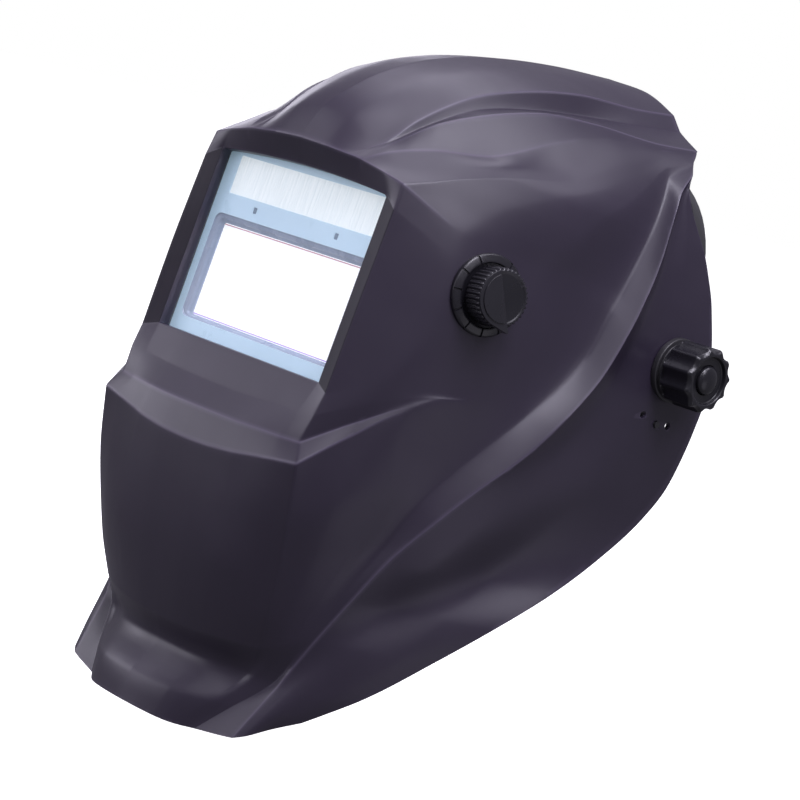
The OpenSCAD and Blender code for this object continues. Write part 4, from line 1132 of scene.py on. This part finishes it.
def swell(obj, limit):
    """Inflates a pad by cloth pressure and caps how far a point may move."""
    scene = bpy.context.scene
    start = np.array([v.co for v in obj.data.vertices])
    sim = obj.modifiers.new("cloth", "CLOTH")
    sim.settings.use_pressure = True
    sim.settings.uniform_pressure_force = 4
    sim.settings.tension_stiffness = 15
    sim.settings.compression_stiffness = 15
    sim.settings.effector_weights.gravity = 0
    sim.point_cache.frame_start = 1
    sim.point_cache.frame_end = 20
    for number in range(1, 21):
        scene.frame_set(number)
    graph = bpy.context.evaluated_depsgraph_get()
    swollen = obj.evaluated_get(graph)
    end = np.array([v.co for v in swollen.data.vertices])
    obj.modifiers.clear()
    move = end - start
    length = np.linalg.norm(move, axis=1, keepdims=True)
    end = start + move * np.minimum(1, limit / np.maximum(length, 1e-9))
    obj.data.vertices.foreach_set("co", end.astype(np.float32).ravel())
    obj.data.update()
    scene.frame_set(1)


pad("brow_pad", "sweatband", -147, -33, -6.6, 5.6, 32, 1.2)
pad("nape_pad", "rear_pad", 67, 113, -9.5, 4.0, 30, 1.0)


# ---------- light and floor ----------
def make_world():
    world = bpy.data.worlds.new("studio")
    world.use_nodes = True
    tree = world.node_tree
    background = tree.nodes["Background"]
    background.inputs["Color"].default_value = (0.89, 0.86, 1.0, 1)
    # A little brighter overhead than below
    split = node_of(tree, "ShaderNodeSeparateXYZ")
    tree.links.new(node_of(tree, "ShaderNodeTexCoord").outputs["Generated"], split.inputs[0])
    tree.links.new(ranged(tree, split.outputs["Z"], 0.24, 0.34, -0.3, 0.8), background.inputs["Strength"])
    white = node_of(tree, "ShaderNodeBackground")
    white.inputs["Color"].default_value = (1, 1, 1, 1)
    white.inputs["Strength"].default_value = 1.0
    rays = node_of(tree, "ShaderNodeLightPath")
    choice = node_of(tree, "ShaderNodeMixShader")
    tree.links.new(rays.outputs["Is Camera Ray"], choice.inputs[0])
    tree.links.new(background.outputs[0], choice.inputs[1])
    tree.links.new(white.outputs[0], choice.inputs[2])
    tree.links.new(choice.outputs[0], tree.nodes["World Output"].inputs["Surface"])
    bpy.context.scene.world = world


make_world()
# The softboxes' colour, what they are aimed at and how far from it they stand
STUDIO = (0.93, 0.90, 1.04)
AIM = Vector((0, -0.04, -0.03))
SOFTBOX_AWAY = 1.3


def softbox(name, height, around, size, power):
    """A softbox aimed at the helmet: degrees above the horizon, and round from its front."""
    up, turn = math.radians(height), math.radians(around)
    away = Vector((math.sin(turn) * math.cos(up), -math.cos(turn) * math.cos(up), math.sin(up)))
    data = bpy.data.lights.new(name, "AREA")
    data.shape = "RECTANGLE"
    data.size, data.size_y = size, size
    data.energy = power
    data.color = STUDIO
    lamp = bpy.data.objects.new(name, data)
    lamp.location = AIM + away * SOFTBOX_AWAY
    lamp.rotation_euler = (-away).to_track_quat("-Z", "Y").to_euler()
    bpy.context.scene.collection.objects.link(lamp)


softbox("key", 60, 60, 0.5, 9.8)
softbox("overhead", 85, 0, 0.5, 4)
softbox("high_side", 38, 80, 0.5, 4.4)
softbox("high_rear", 60, 120, 0.5, 3)
softbox("far_rear", 60, 240, 0.5, 2.3)
softbox("front_high", 38, 20, 0.5, 2.3)
softbox("far_front", 38, -50, 0.5, 1.3)
softbox("low_front", 10, -30, 0.5, 2.6)
softbox("low_edge", 10, -60, 0.5, 2.9)
softbox("far_edge", 10, -120, 0.5, 2.2)
softbox("low_side", -20, 105, 0.7, 0.9)

scene = bpy.context.scene
scene.view_settings.view_transform = "Standard"
scene.view_settings.look = "None"


def make_floor():
    bm = bmesh.new()
    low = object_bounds()[0][2] - 0.02
    reach = 12
    corners = [(x * reach, y * reach, low) for x, y in ((-1, -1), (1, -1), (1, 1), (-1, 1))]
    bm.faces.new([bm.verts.new(p) for p in corners])
    material, tree, shader, coordinate = base_material("pale_floor")
    tone = ranged(tree, noise_at(tree, coordinate, 3, 2), 0, 1)
    tree.links.new(mixed(tree, tone, (0.9, 0.9, 0.9), (0.92, 0.92, 0.92)), shader.inputs["Base Color"])
    shader.inputs["Roughness"].default_value = 0.9
    glowing(shader, (1, 1, 1), 1.0)
    floor = new_object("floor", bm, material)
    floor.visible_diffuse = False
    floor.visible_glossy = False


make_floor()
